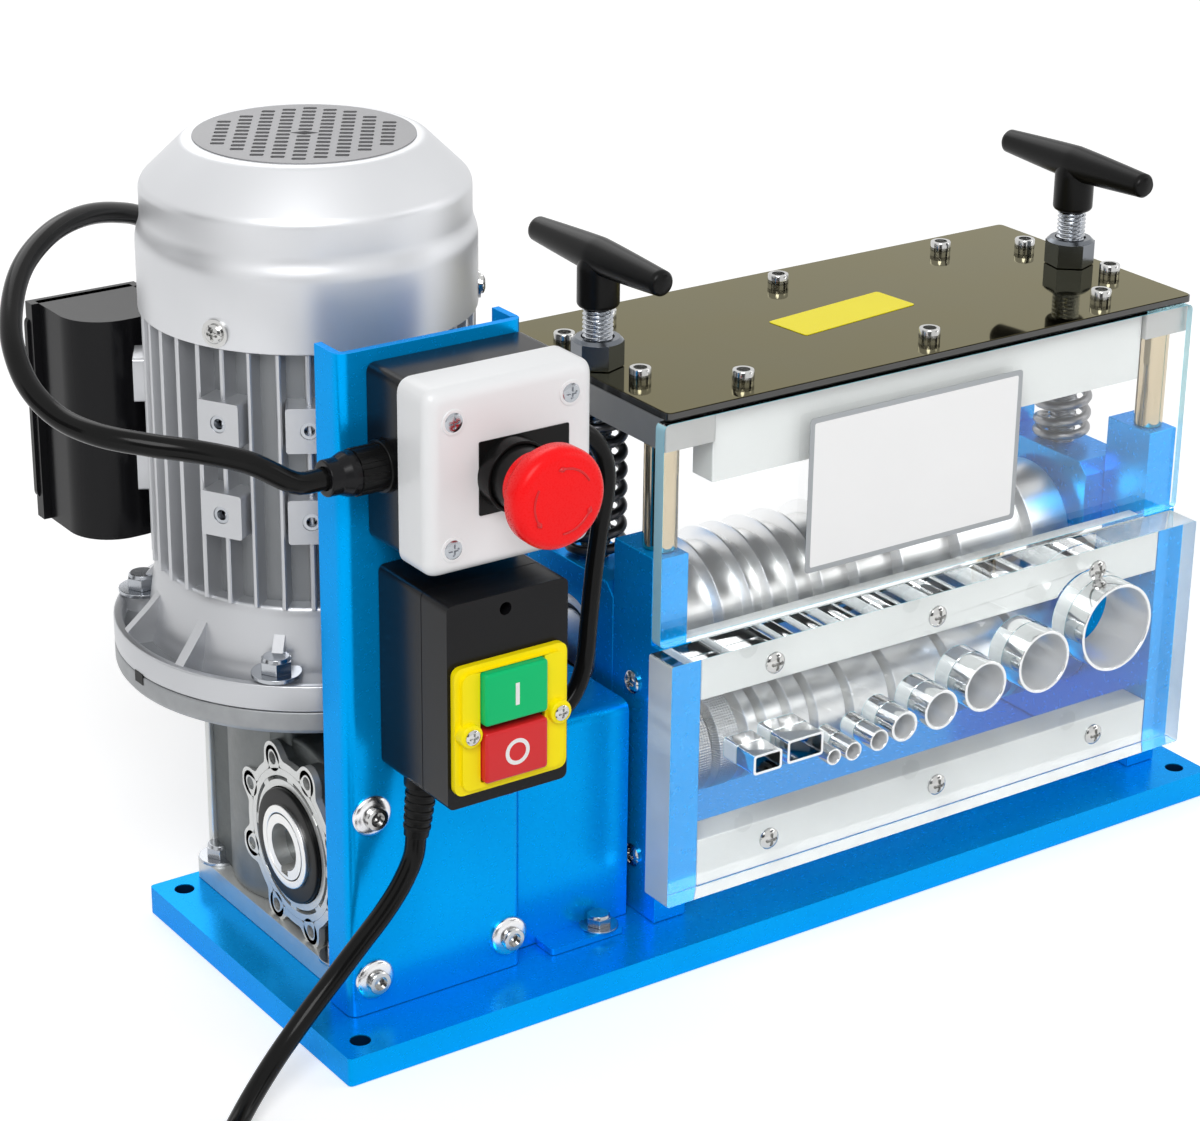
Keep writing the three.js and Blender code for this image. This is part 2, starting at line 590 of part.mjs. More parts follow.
// Worm gearbox: drum round the wheel, barrel round the worm, foot and side covers in one casting
function gearbox() {
  const wheelAt = [feedAxis.y, feedAxis.z];
  const wormAt = [motorAxis.x, motorAxis.y];
  let body = rod(gear.drumRadius, 'x', wheelAt, gear.drumLeft, gear.drumRight, sides.large);
  body = body.add(box(gear.drumLeft, gear.drumRight, gear.sideFront, gear.sideBack, deck, gear.top));
  body = body.add(box(gear.footLeft, gear.footRight, gear.footFront, gear.footBack, deck, gear.footTop));
  body = body.add(rod(gear.neckRadius, 'z', wormAt, gear.footTop, flange.bottom - gap, sides.medium));
  for (const [face, outer] of [
    [gear.drumLeft, gear.coverFace], [gear.drumRight, gear.drumLeft + gear.drumRight - gear.coverFace],
  ]) {
    const [from, to] = [Math.min(face, outer), Math.max(face, outer)];
    body = body.add(rod(gear.coverRadius, 'x', wheelAt, from - gap, to, sides.large));
    for (let i = 0; i < gear.lobes; i += 1) {
      const angle = ((i + 0.5) * 2 * Math.PI) / gear.lobes;
      const at = [
        wheelAt[0] + gear.lobePitch * Math.cos(angle), wheelAt[1] + gear.lobePitch * Math.sin(angle),
      ];
      body = body.add(rod(gear.lobeRadius, 'x', at, from - gap, to, sides.tiny));
    }
  }
  body = body.add(rod(gear.sealRadius, 'x', wheelAt, gear.left, gear.right, sides.medium));
  body = body.subtract(rod(
    gear.hubRadius + runningGap, 'x', wheelAt, gear.left - gap, gear.right + gap, sides.medium,
  ));
  const middle = (gear.drumLeft + gear.drumRight) / 2;
  body = body.subtract(rod(
    gear.cavityRadius, 'x', wheelAt, middle - gear.cavityHalf, middle + gear.cavityHalf, sides.medium,
  ));
  body = body.subtract(rod(
    gear.wormCavity, 'z', wormAt, gear.wormBottom - gear.footHole, reach, sides.small,
  ));
  add('gearbox_housing', body, paint.cast);
  add(
    'gearbox_flange',
    pipe(flange.radius, flange.bore, 'z', wormAt, flange.bottom, flange.split - gap, sides.large),
    paint.cast,
  );
  const hub = { left: gear.left + gap, right: gear.right - gap };
  let wheel = turned([
    [gear.boreRadius, hub.left], [gear.hubRadius, hub.left], [gear.hubRadius, middle - gear.wheelHalf],
    [gear.wheelRadius, middle - gear.wheelHalf], [gear.wheelRadius, middle + gear.wheelHalf],
    [gear.hubRadius, middle + gear.wheelHalf], [gear.hubRadius, hub.right], [gear.boreRadius, hub.right],
    [gear.boreRadius, hub.left],
  ], 'x', wheelAt, sides.medium);
  const keyTop = feedAxis.z + gear.boreRadius + gear.keyDepth;
  const [keyFront, keyBack] = [feedAxis.y - gear.keyWidth / 2, feedAxis.y + gear.keyWidth / 2];
  wheel = wheel.subtract(box(gear.left - gap, gear.right + gap, keyFront, keyBack, feedAxis.z, keyTop));
  add('worm_wheel', wheel, paint.steel);
}

// Motor frame with its flange, end shield, cooling fins, screw pads and terminal box
function motorBody() {
  const at = [motorAxis.x, motorAxis.y];
  const split = flange.split;
  let body = turned([
    [0, split], [flange.radius, split], [flange.radius, flange.top], [motor.coneRadius, flange.top],
    [
      motor.shieldRadius, motor.shieldTop,
    ], [motor.coreRadius, motor.shieldTop], [motor.coreRadius, motor.top - gap],
    [0, motor.top - gap],
  ], 'z', at, sides.large);
  let fins = null;
  for (let i = 0; i < motor.fins; i += 1) {
    const fin = box(
      0, motor.finRadius, -motor.finThick / 2, motor.finThick / 2, motor.shieldTop - gap, motor.top - gap,
    );
    const placed = fin.rotate([0, 0, (i * 360) / motor.fins]);
    fins = fins ? fins.add(placed) : placed;
  }
  for (const angle of padAngles) {
    for (const bottom of [motor.padLow, motor.padHigh]) {
      const half = motor.padSize / 2;
      const pad = box(0, motor.padReach, -half, half, bottom, bottom + motor.padSize);
      fins = fins.add(pad.rotate([0, 0, angle]));
    }
  }
  body = body.add(fins.translate([motorAxis.x, motorAxis.y, 0]));
  const { left, right, front, back, bottom, top, corner } = terminalBox;
  body = body.add(prism(roundedOutline(left, right, bottom, top, corner), 'y', front, back, 2));
  body = body.subtract(rod(flange.bore, 'z', at, 0, reach, sides.small));
  body = body.subtract(rod(motor.statorRadius, 'z', at, motor.statorBottom, motor.statorTop, sides.medium));
  add('motor_body', body, paint.silver);
}

// Worm, motor shaft and rotor in one
function motorRotor() {
  const profile = [
    [0, gear.wormBottom], [gear.wormRadius, gear.wormBottom], [gear.wormRadius, gear.wormTop],
    [motor.shaftRadius, gear.wormTop], [
      motor.shaftRadius, motor.rotorBottom,
    ], [motor.rotorRadius, motor.rotorBottom],
    [
      motor.rotorRadius, motor.rotorTop,
    ], [motor.shaftRadius, motor.rotorTop], [motor.shaftRadius, motor.shaftTop],
    [0, motor.shaftTop],
  ];
  add('motor_rotor', turned(profile, 'z', [motorAxis.x, motorAxis.y], sides.small), paint.steel);
}

// Cooling fan on the upper end of the motor shaft
function coolingFan() {
  const bore = motor.shaftRadius + gap;
  let body = pipe(fan.hubRadius, bore, 'z', [0, 0], fan.bottom, fan.top);
  body = body.add(pipe(
    fan.bladeRadius, bore, 'z', [0, 0], fan.bottom, fan.bottom + fan.discThick, sides.medium,
  ));
  for (let i = 0; i < fan.blades; i += 1) {
    const half = fan.bladeThick / 2;
    const blade = box(bore + half, fan.bladeRadius, -half, half, fan.bottom, fan.top);
    body = body.add(blade.rotate([0, 0, (i * 360) / fan.blades]));
  }
  add('cooling_fan', body.translate([motorAxis.x, motorAxis.y, 0]), paint.black);
}

// Sheet cover over the fan with slots in its top
function fanCover() {
  const { radius, waist, waistTop, upperRadius, shoulder, topRadius, top, wall, slots } = cap;
  let body = turned([
    [radius - wall, motor.top], [radius, motor.top], [radius, waist], [upperRadius, waistTop],
    [upperRadius, shoulder],
    [topRadius, top], [0, top], [0, top - wall], [topRadius - wall, top - wall], [
      upperRadius - wall, shoulder - wall,
    ],
    [upperRadius - wall, waistTop], [radius - wall, waist], [radius - wall, motor.top],
  ], 'z', [0, 0], sides.large);
  for (let i = 0; i < slots; i += 1) {
    const half = cap.slotWidth / 2;
    const slot = box(cap.slotInner, cap.slotOuter, -half, half, shoulder, top + wall);
    body = body.subtract(slot.rotate([0, 0, (i * 360) / slots]));
  }
  add('fan_cover', body.translate([motorAxis.x, motorAxis.y, 0]), paint.silver);
}

// Capacitor in its case, on the bracket plate behind the motor
function capacitorCase() {
  const { left, right, front, bottom, top, corner } = capacitor;
  const face = terminalBox.back + gap;
  const outline = new THREE.Shape();
  outline.moveTo(left, face + bracket.thick / 2);
  outline.lineTo(left, front + corner);
  outline.absarc(left + corner, front + corner, corner, Math.PI, Math.PI * 1.5, false);
  outline.lineTo(right - corner, front);
  outline.absarc(right - corner, front + corner, corner, Math.PI * 1.5, Math.PI * 2, false);
  outline.lineTo(right, face + bracket.thick / 2);
  let body = prism(outline, 'z', bottom, top, 6);
  body = body.add(box(bracket.left, bracket.right, face, face + bracket.thick, bracket.bottom, bracket.top));
  body = body.add(box(
    left - capacitor.lip, right + capacitor.lip, face - capacitor.lip, face + bracket.thick, bottom, top,
  ));
  add('capacitor_case', body, paint.black);
}

// Blue upright panel that carries the switches, with its four domed bolts
function frontPanel() {
  const { left, right, front, thick, returnBack, top } = panel;
  let body = box(left, right, front, front + thick, deck, top);
  body = body.add(box(left, left + thick, front, returnBack, deck, top));
  body = body.add(box(right - thick, right, front, returnBack, deck, top));
  for (const x of [panelBolt.leftX, panelBolt.rightX]) {
    for (const z of [panelBolt.lowZ, panelBolt.highZ]) {
      const dome = turned([
        [0, front + thick / 2], [panelBolt.radius, front + thick / 2], [
          panelBolt.radius, front - panelBolt.rimHeight,
        ],
        [panelBolt.radius / 2, front - panelBolt.height], [0, front - panelBolt.height],
      ], 'y', [x, z], sides.tiny);
      body = body.add(dome);
    }
  }
  add('front_panel', body, paint.blue);
}

// Folded tunnel over the coupling with a bolted tab at the front
function couplingCover() {
  const { left, right, front, back, top, thick, tabFront, tabLeft, tabRight } = tunnel;
  let body = box(left, right, front, back, deck, top);
  body = body.subtract(box(left - gap, right + gap, front + thick, back - thick, 0, top - thick));
  body = body.add(box(tabLeft, tabRight, tabFront, front + thick / 2, deck, deck + thick));
  const across = tunnelBolt.flats / Math.sqrt(3);
  const boltTop = deck + thick + tunnelBolt.height;
  body = body.add(rod(across, 'z', [tunnelBolt.x, tunnelBolt.y], deck + thick / 2, boltTop, sides.bolt));
  add('coupling_cover', body, paint.blue);
}

// Emergency stop: rear box with two cable glands, cover, stem and mushroom head
function emergencyStop() {
  const half = stopBox.size / 2;
  const [left, right] = [stopBox.centreX - half, stopBox.centreX + half];
  const [bottom, top] = [stopBox.centreZ - half, stopBox.centreZ + half];
  const [boxFront, boxBack] = [panel.front - gap - stopBox.depth, panel.front - gap];
  let body = prism(roundedOutline(left, right, bottom, top, stopBox.corner), 'y', boxFront, boxBack, 2);
  const glandAt = [gland.y, gland.z];
  const leftGland = turned([
    [0, gland.leftTip], [gland.tipRadius, gland.leftTip], [
      gland.radius, left - gland.nutWidth,
    ], [gland.radius, left + gap], [0, left + gap],
  ], 'x', glandAt, sides.tiny);
  const rightGland = turned([
    [0, right - gap], [gland.radius, right - gap], [gland.radius, right + gland.rightNut],
    [gland.tipRadius, gland.rightTip], [0, gland.rightTip],
  ], 'x', glandAt, sides.tiny);
  body = body.add(leftGland).add(rightGland);
  const wall = stopBox.wall;
  const inner = roundedOutline(left + wall, right - wall, bottom + wall, top - wall, stopBox.corner);
  body = body.subtract(prism(inner, 'y', boxFront - gap, boxBack - wall, 2));
  add('estop_box', body, paint.black);

  const coverHalf = stopCover.size / 2;
  const [coverLeft, coverRight] = [stopBox.centreX - coverHalf, stopBox.centreX + coverHalf];
  const [coverLow, coverHigh] = [stopBox.centreZ - coverHalf, stopBox.centreZ + coverHalf];
  const { front, back, bevel, corner } = stopCover;
  let cover = prism(roundedOutline(coverLeft, coverRight, coverLow, coverHigh, corner), 'y', front, back, 3);
  for (const turn of [0, 90, 180, 270]) {
    const wedge = prism(corners([
      [front - gap, coverHalf - bevel], [front + bevel, coverHalf + gap], [front - gap, coverHalf + gap],
    ]), 'x', -stopCover.size, stopCover.size);
    cover = cover.subtract(wedge.rotate([0, turn, 0]).translate([stopBox.centreX, 0, stopBox.centreZ]));
  }
  const knobAt = [stopKnob.x, stopKnob.z];
  cover = cover.add(rod(
    stopCover.collarRadius, 'y', knobAt, stopCover.collarFront, front + gap, sides.small,
  ));
  const hollow = coverHalf - stopCover.wall - bevel / 2;
  const hollowOutline = roundedOutline(
    stopBox.centreX - hollow, stopBox.centreX + hollow, stopBox.centreZ - hollow, stopBox.centreZ + hollow,
    corner,
  );
  cover = cover.subtract(prism(hollowOutline, 'y', front + stopCover.wall, back + gap, 2));
  cover = cover.subtract(rod(
    stopKnob.neck + runningGap, 'y', knobAt, stopCover.collarFront - gap, 0, sides.small,
  ));
  add('estop_cover', cover, paint.white);

  const stem = turned([
    [0, stopStem.front], [stopStem.radius, stopStem.front], [stopStem.radius, stopStem.collarFront],
    [
      stopStem.collar, stopStem.collarFront,
    ], [stopStem.collar, stopStem.collarBack], [stopStem.radius, stopStem.collarBack],
    [stopStem.radius, stopStem.back], [0, stopStem.back],
  ], 'y', knobAt, sides.tiny);
  add('estop_stem', stem, paint.black);
  const bore = stopStem.radius + gap;
  const knob = turned([
    [0, stopKnob.front], [stopKnob.faceRadius, stopKnob.front], [stopKnob.radius, stopKnob.widest],
    [stopKnob.radius, stopKnob.under], [stopKnob.neck, stopKnob.under], [stopKnob.neck, stopKnob.neckBack],
    [bore, stopKnob.neckBack], [bore, stopStem.front - gap], [0, stopStem.front - gap],
  ], 'y', knobAt, sides.small);
  add('estop_button', knob, paint.red);
}

// Start and stop switch: box, yellow bezel with a cup behind it, two sprung buttons
function switchUnit() {
  const { left, right, bottom, top, front, wall, corner } = switchBox;
  const back = panel.front - gap;
  let body = prism(roundedOutline(left, right, bottom, top, corner), 'y', front, back, 2);
  body = body.subtract(box(left + wall, right - wall, front + wall, back - wall, bottom + wall, top - wall));
  const window = {
    left: pushButton.left - runningGap, right: pushButton.right + runningGap,
    bottom: pushButton.stopBottom - runningGap, top: pushButton.startTop + runningGap,
  };
  const skirt = bezel.skirt + gap;
  body = body.subtract(box(
    window.left - skirt, window.right + skirt, front - gap, front + wall + gap, window.bottom - skirt,
    window.top + skirt,
  ));
  const mainsAt = [grommet.mainsX, grommet.mainsY];
  const flangeBottom = bottom - grommet.height;
  body = body.add(rod(grommet.radius, 'z', mainsAt, flangeBottom, bottom + gap, sides.tiny));
  const sleeve = turned([
    [0, -relief.length], [relief.tip, -relief.length], [
      relief.root, grommet.height / 2,
    ], [0, grommet.height / 2],
  ], 'z', [0, 0], sides.tiny);
  body = body.add(sleeve.rotate([0, relief.tilt, 0]).translate([...mainsAt, flangeBottom]));
  const linkAt = [grommet.linkY, grommet.linkZ];
  body = body.add(rod(grommet.radius, 'x', linkAt, right - gap, right + grommet.linkReach, sides.tiny));
  add('switch_box', body, paint.black);

  const face = front - gap;
  let frame = prism(
    roundedOutline(bezel.left, bezel.right, bezel.bottom, bezel.top, bezel.corner), 'y', bezel.front, face,
    3,
  );
  for (const x of [bezel.earLeft, bezel.earRight]) {
    frame = frame.add(rod(bezel.earRadius, 'y', [x, bezel.earHeight], bezel.earFront, face, sides.tiny));
  }
  const cup = box(
    window.left - bezel.skirt, window.right + bezel.skirt, face - gap, bezel.cupBack,
    window.bottom - bezel.skirt, window.top + bezel.skirt,
  );
  frame = frame.add(cup);
  frame = frame.subtract(box(
    window.left, window.right, -reach, bezel.cupBack - bezel.cupWall, window.bottom, window.top,
  ));
  add('switch_bezel', frame, paint.yellow);
  const press = (name, low, high, look) => {
    const shape = roundedOutline(pushButton.left, pushButton.right, low, high, corner / 2);
    add(name, prism(shape, 'y', pushButton.front, pushButton.back, 2), look);
  };
  press('start_button', pushButton.startBottom, pushButton.startTop, paint.green);
  press('stop_button', pushButton.stopBottom, pushButton.stopTop, paint.red);
}

// Leads: to the motor, between the two switches and out to the mains
function leads() {
  const startX = gland.leftTip - gap;
  const motorEnd = terminalBox.top + gap;
  add('motor_lead', cord([
    [startX, gland.y, gland.z], [-217, gland.y, gland.z], [-223, gland.y, 233.6], [-238.8, -62, 243],
    [-254.2, -56, 248.1], [-268.5, -48, 251],
    [-280.8, -36, 253.2], [-287.2, -20, 255.6], [-290.2, -4, 262], [-287.5, 14, 271.6], [-279, 32, 279.5],
    [-266, 50, 286.6], [-246.8, 68, 290.9], [-226.1, 84, 290], [-207, 97, 285.1], [-189.5, 108, 277.4],
    [-175, 114, 265], [-168, 115, 252], [-167, 115, 244.3], [-167, 115, motorEnd],
  ], lead), paint.black);
  const linkStart = gland.rightTip + gap;
  const linkEnd = switchBox.right + grommet.linkReach + gap;
  add('link_lead', cord([
    [linkStart, gland.y, gland.z], [-118.6, gland.y, gland.z], [-113.4, gland.y, 232.2],
    [-107.6, gland.y, 229.8], [-102.6, gland.y, 226], [-98.8, gland.y, 221], [-96.4, gland.y, 215.2],
    [-95.6, gland.y, 209], [-96, gland.y, 203], [-98.3, -66.3, 191.5], [-101.5, -67, 173],
    [-104.3, -68, 153], [-105.4, -68.6, 145.4], [-106.6, -69, 139.6], [-108.8, -69.6, 133.6],
    [-112.3, -70.2, 128.1], [-117.2, -70.7, 123.9], [-123, grommet.linkY, 121.2],
    [-129, grommet.linkY, grommet.linkZ], [linkEnd, grommet.linkY, grommet.linkZ],
  ], link), paint.black);
  const tilt = THREE.MathUtils.degToRad(relief.tilt);
  const alongRelief = (distance) => [
    grommet.mainsX - Math.sin(tilt) * distance, grommet.mainsY,
    switchBox.bottom - grommet.height - Math.cos(tilt) * distance,
  ];
  const cordStart = relief.length + gap;
  const diameter = mains.radius * 2;
  const coilStart = coil.centreX + coil.lead;
  const coilBack = coil.centreY + coil.outerRadius;
  add('mains_cord', cord([
    alongRelief(cordStart), alongRelief(cordStart + diameter / 2), alongRelief(cordStart + diameter),
    [-187.4, -69.9, 74.3], [-193.4, -69.1, 65.2], [-202, -67.6, 54.4], [-212.4, -66.6, 42.1],
    [-226, -67.4, 29],
    [-240.6, -71.4, 18.2], [-255, -78.6, 9.8], [-266.4, -86.8, 5.4], [-277, -96.6, coil.floor],
    [-286.4, -105.6, coil.floor], [coilStart + diameter, coilBack, coil.floor],
    [coilStart + diameter / 2, coilBack, coil.floor], [coilStart + gap, coilBack, coil.floor],
  ], mains), paint.black);
}

// Coil: three turns winding in on the floor, then over and out on top of them
function mainsCoil() {
  const { centreX, centreY, outerRadius, pitch, lowTurns, crossTurns, highTurns, stepsPerTurn, floor } = coil;
  const points = [];
  for (const ahead of [coil.lead, coil.lead / 2]) {
    points.push(new THREE.Vector3(centreX + ahead, centreY + outerRadius, floor));
  }
  const inner = outerRadius - pitch * lowTurns;
  const count = Math.round((lowTurns + crossTurns + highTurns) * stepsPerTurn);
  for (let i = 0; i <= count; i += 1) {
    const turns = i / stepsPerTurn;
    const rise = THREE.MathUtils.smoothstep(turns, lowTurns, lowTurns + crossTurns);
    const wayIn = outerRadius - pitch * Math.min(turns, lowTurns);
    const wayOut = pitch * Math.max(turns - lowTurns - crossTurns, 0);
    const radius = turns <= lowTurns ? wayIn : inner + wayOut;
    const angle = Math.PI / 2 + turns * 2 * Math.PI;
    const height = floor + pitch * rise;
    points.push(new THREE.Vector3(
      centreX + radius * Math.cos(angle), centreY + radius * Math.sin(angle), height,
    ));
  }
  const end = points[points.length - 1];
  for (let i = 1; i <= coil.tailSteps; i += 1) {
    points.push(new THREE.Vector3(end.x + (coil.tail * i) / coil.tailSteps, end.y, end.z));
  }
  console.log(
    'mains_coil least gap between turns', leastGap(points, mains.radius, stepsPerTurn / 2).toFixed(2),
  );
  add('mains_coil', wound(points, mains.radius, coil.sides), paint.black);
  return points[points.length - 1];
}

// Moulded plug with two round pins at the end of the coil
function mainsPlug(end) {
  const start = end.x + gap;
  const at = [end.y, end.z];
  const bodyStart = start + plug.neck;
  const bodyEnd = bodyStart + plug.length;
  let body = rod(plug.neckRadius, 'x', at, start, bodyStart + gap, sides.tiny);
  const outline = roundedOutline(
    at[0] - plug.halfWidth, at[0] + plug.halfWidth, at[1] - plug.halfHeight, at[1] + plug.halfHeight,
    plug.corner,
  );
  body = body.add(prism(outline, 'x', bodyStart, bodyEnd, 3));
  for (const side of [-1, 1]) {
    const pinAt = [at[0] + side * plug.pinSpread, at[1]];
    body = body.add(rod(plug.pinRadius, 'x', pinAt, bodyEnd - gap, bodyEnd + plug.pinLength, sides.tiny));
  }
  add('mains_plug', body, paint.black);
}

basePlate();
frontPanel();
couplingCover();
sidePlate('left_side_plate', plate.leftOuter);
sidePlate('right_side_plate', rightInner);
posts();
topBar('left_top_bar', bar.leftOuter, screw.leftX);
topBar('right_top_bar', bar.rightOuter - bar.width, screw.rightX);
topPlate();
rails();
guards();
guides();
feedRoller();
bladeRoller();
bearingBlock('left_bearing_block', plate.leftOuter, screw.leftX);
bearingBlock('right_bearing_block', plate.rightOuter - block.thick, screw.rightX);
pressureScrew('left', screw.leftX);
pressureScrew('right', screw.rightX);
pressureSpring('left_spring', screw.leftX);
pressureSpring('right_spring', screw.rightX);
gearbox();
motorBody();
motorRotor();
coolingFan();
fanCover();
capacitorCase();
emergencyStop();
switchUnit();
leads();
mainsPlug(mainsCoil());

export default part;
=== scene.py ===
import bpy, bmesh, json, math
import numpy as np
from mathutils import Matrix, Vector, geometry

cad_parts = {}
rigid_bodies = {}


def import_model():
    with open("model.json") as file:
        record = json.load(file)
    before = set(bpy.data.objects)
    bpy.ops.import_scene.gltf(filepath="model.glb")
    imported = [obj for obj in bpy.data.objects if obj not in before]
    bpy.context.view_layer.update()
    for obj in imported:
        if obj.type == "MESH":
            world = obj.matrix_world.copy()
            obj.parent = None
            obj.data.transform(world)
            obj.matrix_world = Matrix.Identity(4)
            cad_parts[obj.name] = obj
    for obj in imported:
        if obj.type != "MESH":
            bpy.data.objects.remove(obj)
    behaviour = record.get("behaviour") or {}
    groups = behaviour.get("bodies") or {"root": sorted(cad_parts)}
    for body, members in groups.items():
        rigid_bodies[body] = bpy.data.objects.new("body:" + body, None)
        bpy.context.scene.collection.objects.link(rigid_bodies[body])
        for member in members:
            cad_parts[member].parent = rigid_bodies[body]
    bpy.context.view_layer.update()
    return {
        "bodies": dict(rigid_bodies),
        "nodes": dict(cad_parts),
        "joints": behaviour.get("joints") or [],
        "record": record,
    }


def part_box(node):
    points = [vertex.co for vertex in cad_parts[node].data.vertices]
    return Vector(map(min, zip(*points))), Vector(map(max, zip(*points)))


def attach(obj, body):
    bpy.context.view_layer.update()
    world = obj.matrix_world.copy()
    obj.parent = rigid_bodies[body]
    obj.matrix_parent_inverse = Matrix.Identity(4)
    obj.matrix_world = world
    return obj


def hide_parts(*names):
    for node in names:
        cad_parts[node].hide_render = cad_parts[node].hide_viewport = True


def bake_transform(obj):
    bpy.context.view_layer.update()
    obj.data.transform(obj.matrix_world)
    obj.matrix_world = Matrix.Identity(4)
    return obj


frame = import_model()
mm = 0.001
tau = 2 * math.pi
# axes in millimetres: (y, z) of the rollers, (x, y) of the motor and x of the two screws
feedAxis, bladeAxis = (1.5, 57.5), (3.75, 111.5)
motorAxis, screwX = (-156.5, 41.5), (-52.0, 190.0)


def node(name):
    # lowest and highest corner of a CAD node, in millimetres
    low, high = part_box(name)
    return np.array(low) / mm, np.array(high) / mm


# camera, light and floor

studio = {
    "place": (-708.8, -946.2, 625.4), "azimuth": -34.754, "elevation": 22.717, "roll": 0.688, "lens": 95.46,
    "worldLevel": 0.42, "keyPower": 24, "fillPower": 7, "backPower": 8, "floorColor": (0.80, 0.80, 0.80),
    "floorRings": [0.3, 1.5, 6.0], "floorLevel": -0.0004,
    "farFrom": 0.9, "farRise": 0.5, "floorGlow": 0.42, "farGlow": 0.26,
    "cards": [((-1.25, -1.65, 0.55), 1.3, 0.9), ((1.15, -1.25, 0.75), 0.9, 0.55),
        ((-1.9, 0.55, 0.6), 0.8, 0.9)], "cardColor": (0.05, 0.05, 0.055),
}


def aimCamera():
    a, e, roll = (math.radians(studio[k]) for k in ("azimuth", "elevation", "roll"))
    back = Vector((math.sin(a) * math.cos(e), -math.cos(a) * math.cos(e), math.sin(e)))
    side = (-back).cross(Vector((0, 0, 1))).normalized()
    up = side.cross(-back)
    right = math.cos(roll) * side + math.sin(roll) * up
    top = math.cos(roll) * up - math.sin(roll) * side
    data = bpy.data.cameras.new("photoCamera")
    data.lens, data.sensor_width = studio["lens"], 36
    data.clip_start, data.clip_end = 0.05, 20
    camera = bpy.data.objects.new("photoCamera", data)
    bpy.context.scene.collection.objects.link(camera)
    turn = Matrix((right, top, back)).transposed().to_4x4()
    camera.matrix_world = Matrix.Translation(Vector(studio["place"]) * mm) @ turn
    bpy.context.scene.camera = camera


class Wire:
    # one value in a material; the operators add Math nodes
    def __init__(self, paint, socket):
        self.paint, self.socket = paint, socket

    def math(self, operation, *others):
        return self.paint.add("Math", {"operation": operation}, dict(enumerate([self, *others])))

    def __add__(self, other): return self.math("ADD", other)
    def __mul__(self, other): return self.math("MULTIPLY", other)
    def __sub__(self, other): return self.math("SUBTRACT", other)
    def __truediv__(self, other): return self.math("DIVIDE", other)
    def __pow__(self, other): return self.math("POWER", other)
    def __gt__(self, other): return self.math("GREATER_THAN", other)
    def __lt__(self, other): return self.math("LESS_THAN", other)
    __radd__, __rmul__ = __add__, __mul__
    def __rsub__(self, other): return self.paint.add("Math", {"operation": "SUBTRACT"}, {0: other, 1: self})


class Paint:
    # a node material built from calls; add() takes a node's type, its settings and its inputs
    def __init__(self, name):
        self.material = bpy.data.materials.new(name)
        self.material.use_nodes = True
        self.tree = self.material.node_tree
        self.tree.nodes.clear()

    def add(self, kind, settings=None, inputs=None, output=0):
        made = self.tree.nodes.new("ShaderNode" + kind)
        for key, value in (settings or {}).items():
            setattr(made, key, value)
        for key, value in (inputs or {}).items():
            socket = made.inputs[key]
            if isinstance(value, Wire):
                self.tree.links.new(value.socket, socket)
            elif socket.type == "RGBA":
                socket.default_value = (*value, 1) if len(value) == 3 else value
            else:
                socket.default_value = value
        return Wire(self, made.outputs[output])

    def place(self, scale=(1, 1, 1)):
        point = self.add("TexCoord", output="Object")
        return self.add("Mapping", inputs={"Vector": point, "Scale": scale})

    def noise(self, scale, detail=3.0, roughness=0.5, stretch=(1, 1, 1)):
        return self.add("TexNoise", inputs={
            "Vector": self.place(stretch), "Scale": scale, "Detail": detail, "Roughness": roughness})

    def mix(self, factor, first, second):
        # output 2 is the colour result of a Mix node set to colours
        return self.add("Mix", {"data_type": "RGBA"}, {0: factor, 6: first, 7: second}, output=2)

    def bump(self, height, strength, distance):
        return self.add("Bump", inputs={"Height": height, "Strength": strength, "Distance": distance})

    def finish(self, **inputs):
        names = {key.replace("_", " "): value for key, value in inputs.items()}
        shader = self.add("BsdfPrincipled", inputs=names, output="BSDF")
        self.add2Output(shader)
        return self.material

    def add2Output(self, shader):
        output = self.tree.nodes.new("ShaderNodeOutputMaterial")
        self.tree.links.new(shader.socket, output.inputs["Surface"])


def setLight():
    bpy.context.scene.view_settings.view_transform = "Standard"
    world = bpy.data.worlds.new("studioWorld")
    bpy.context.scene.world = world
    world.use_nodes = True
    tree = world.node_tree
    tree.nodes.clear()
    path = tree.nodes.new("ShaderNodeLightPath")
    seen = path.outputs["Is Camera Ray"]
    for name in ("Is Glossy Ray", "Is Transmission Ray"):
        either = tree.nodes.new("ShaderNodeMath")
        either.operation = "MAXIMUM"
        tree.links.new(seen, either.inputs[0])
        tree.links.new(path.outputs[name], either.inputs[1])
        seen = either.outputs[0]
    level = tree.nodes.new("ShaderNodeMix")
    level.inputs[2].default_value, level.inputs[3].default_value = studio["worldLevel"], 1.0
    tree.links.new(seen, level.inputs[0])
    sky = tree.nodes.new("ShaderNodeBackground")
    sky.inputs["Color"].default_value = (1, 1, 1, 1)
    tree.links.new(level.outputs[0], sky.inputs["Strength"])
    output = tree.nodes.new("ShaderNodeOutputWorld")
    tree.links.new(sky.outputs[0], output.inputs["Surface"])
    lamps = [
        ("keyLamp", (-1.1, -1.3, 1.6), 1.1, studio["keyPower"]),
        ("fillLamp", (1.5, -1.2, 0.9), 1.2, studio["fillPower"]),
        ("backLamp", (0.3, 1.5, 1.5), 1.4, studio["backPower"]),
    ]
    for name, spot, size, power in lamps:
        data = bpy.data.lights.new(name, "AREA")
        data.shape, data.size, data.energy = "DISK", size, power
        lamp = bpy.data.objects.new(name, data)
        bpy.context.scene.collection.objects.link(lamp)
        aim = Vector((-0.02, 0, 0.12)) - Vector(spot)
        lamp.matrix_world = Matrix.Translation(spot) @ aim.to_track_quat("-Z", "Y").to_matrix().to_4x4()


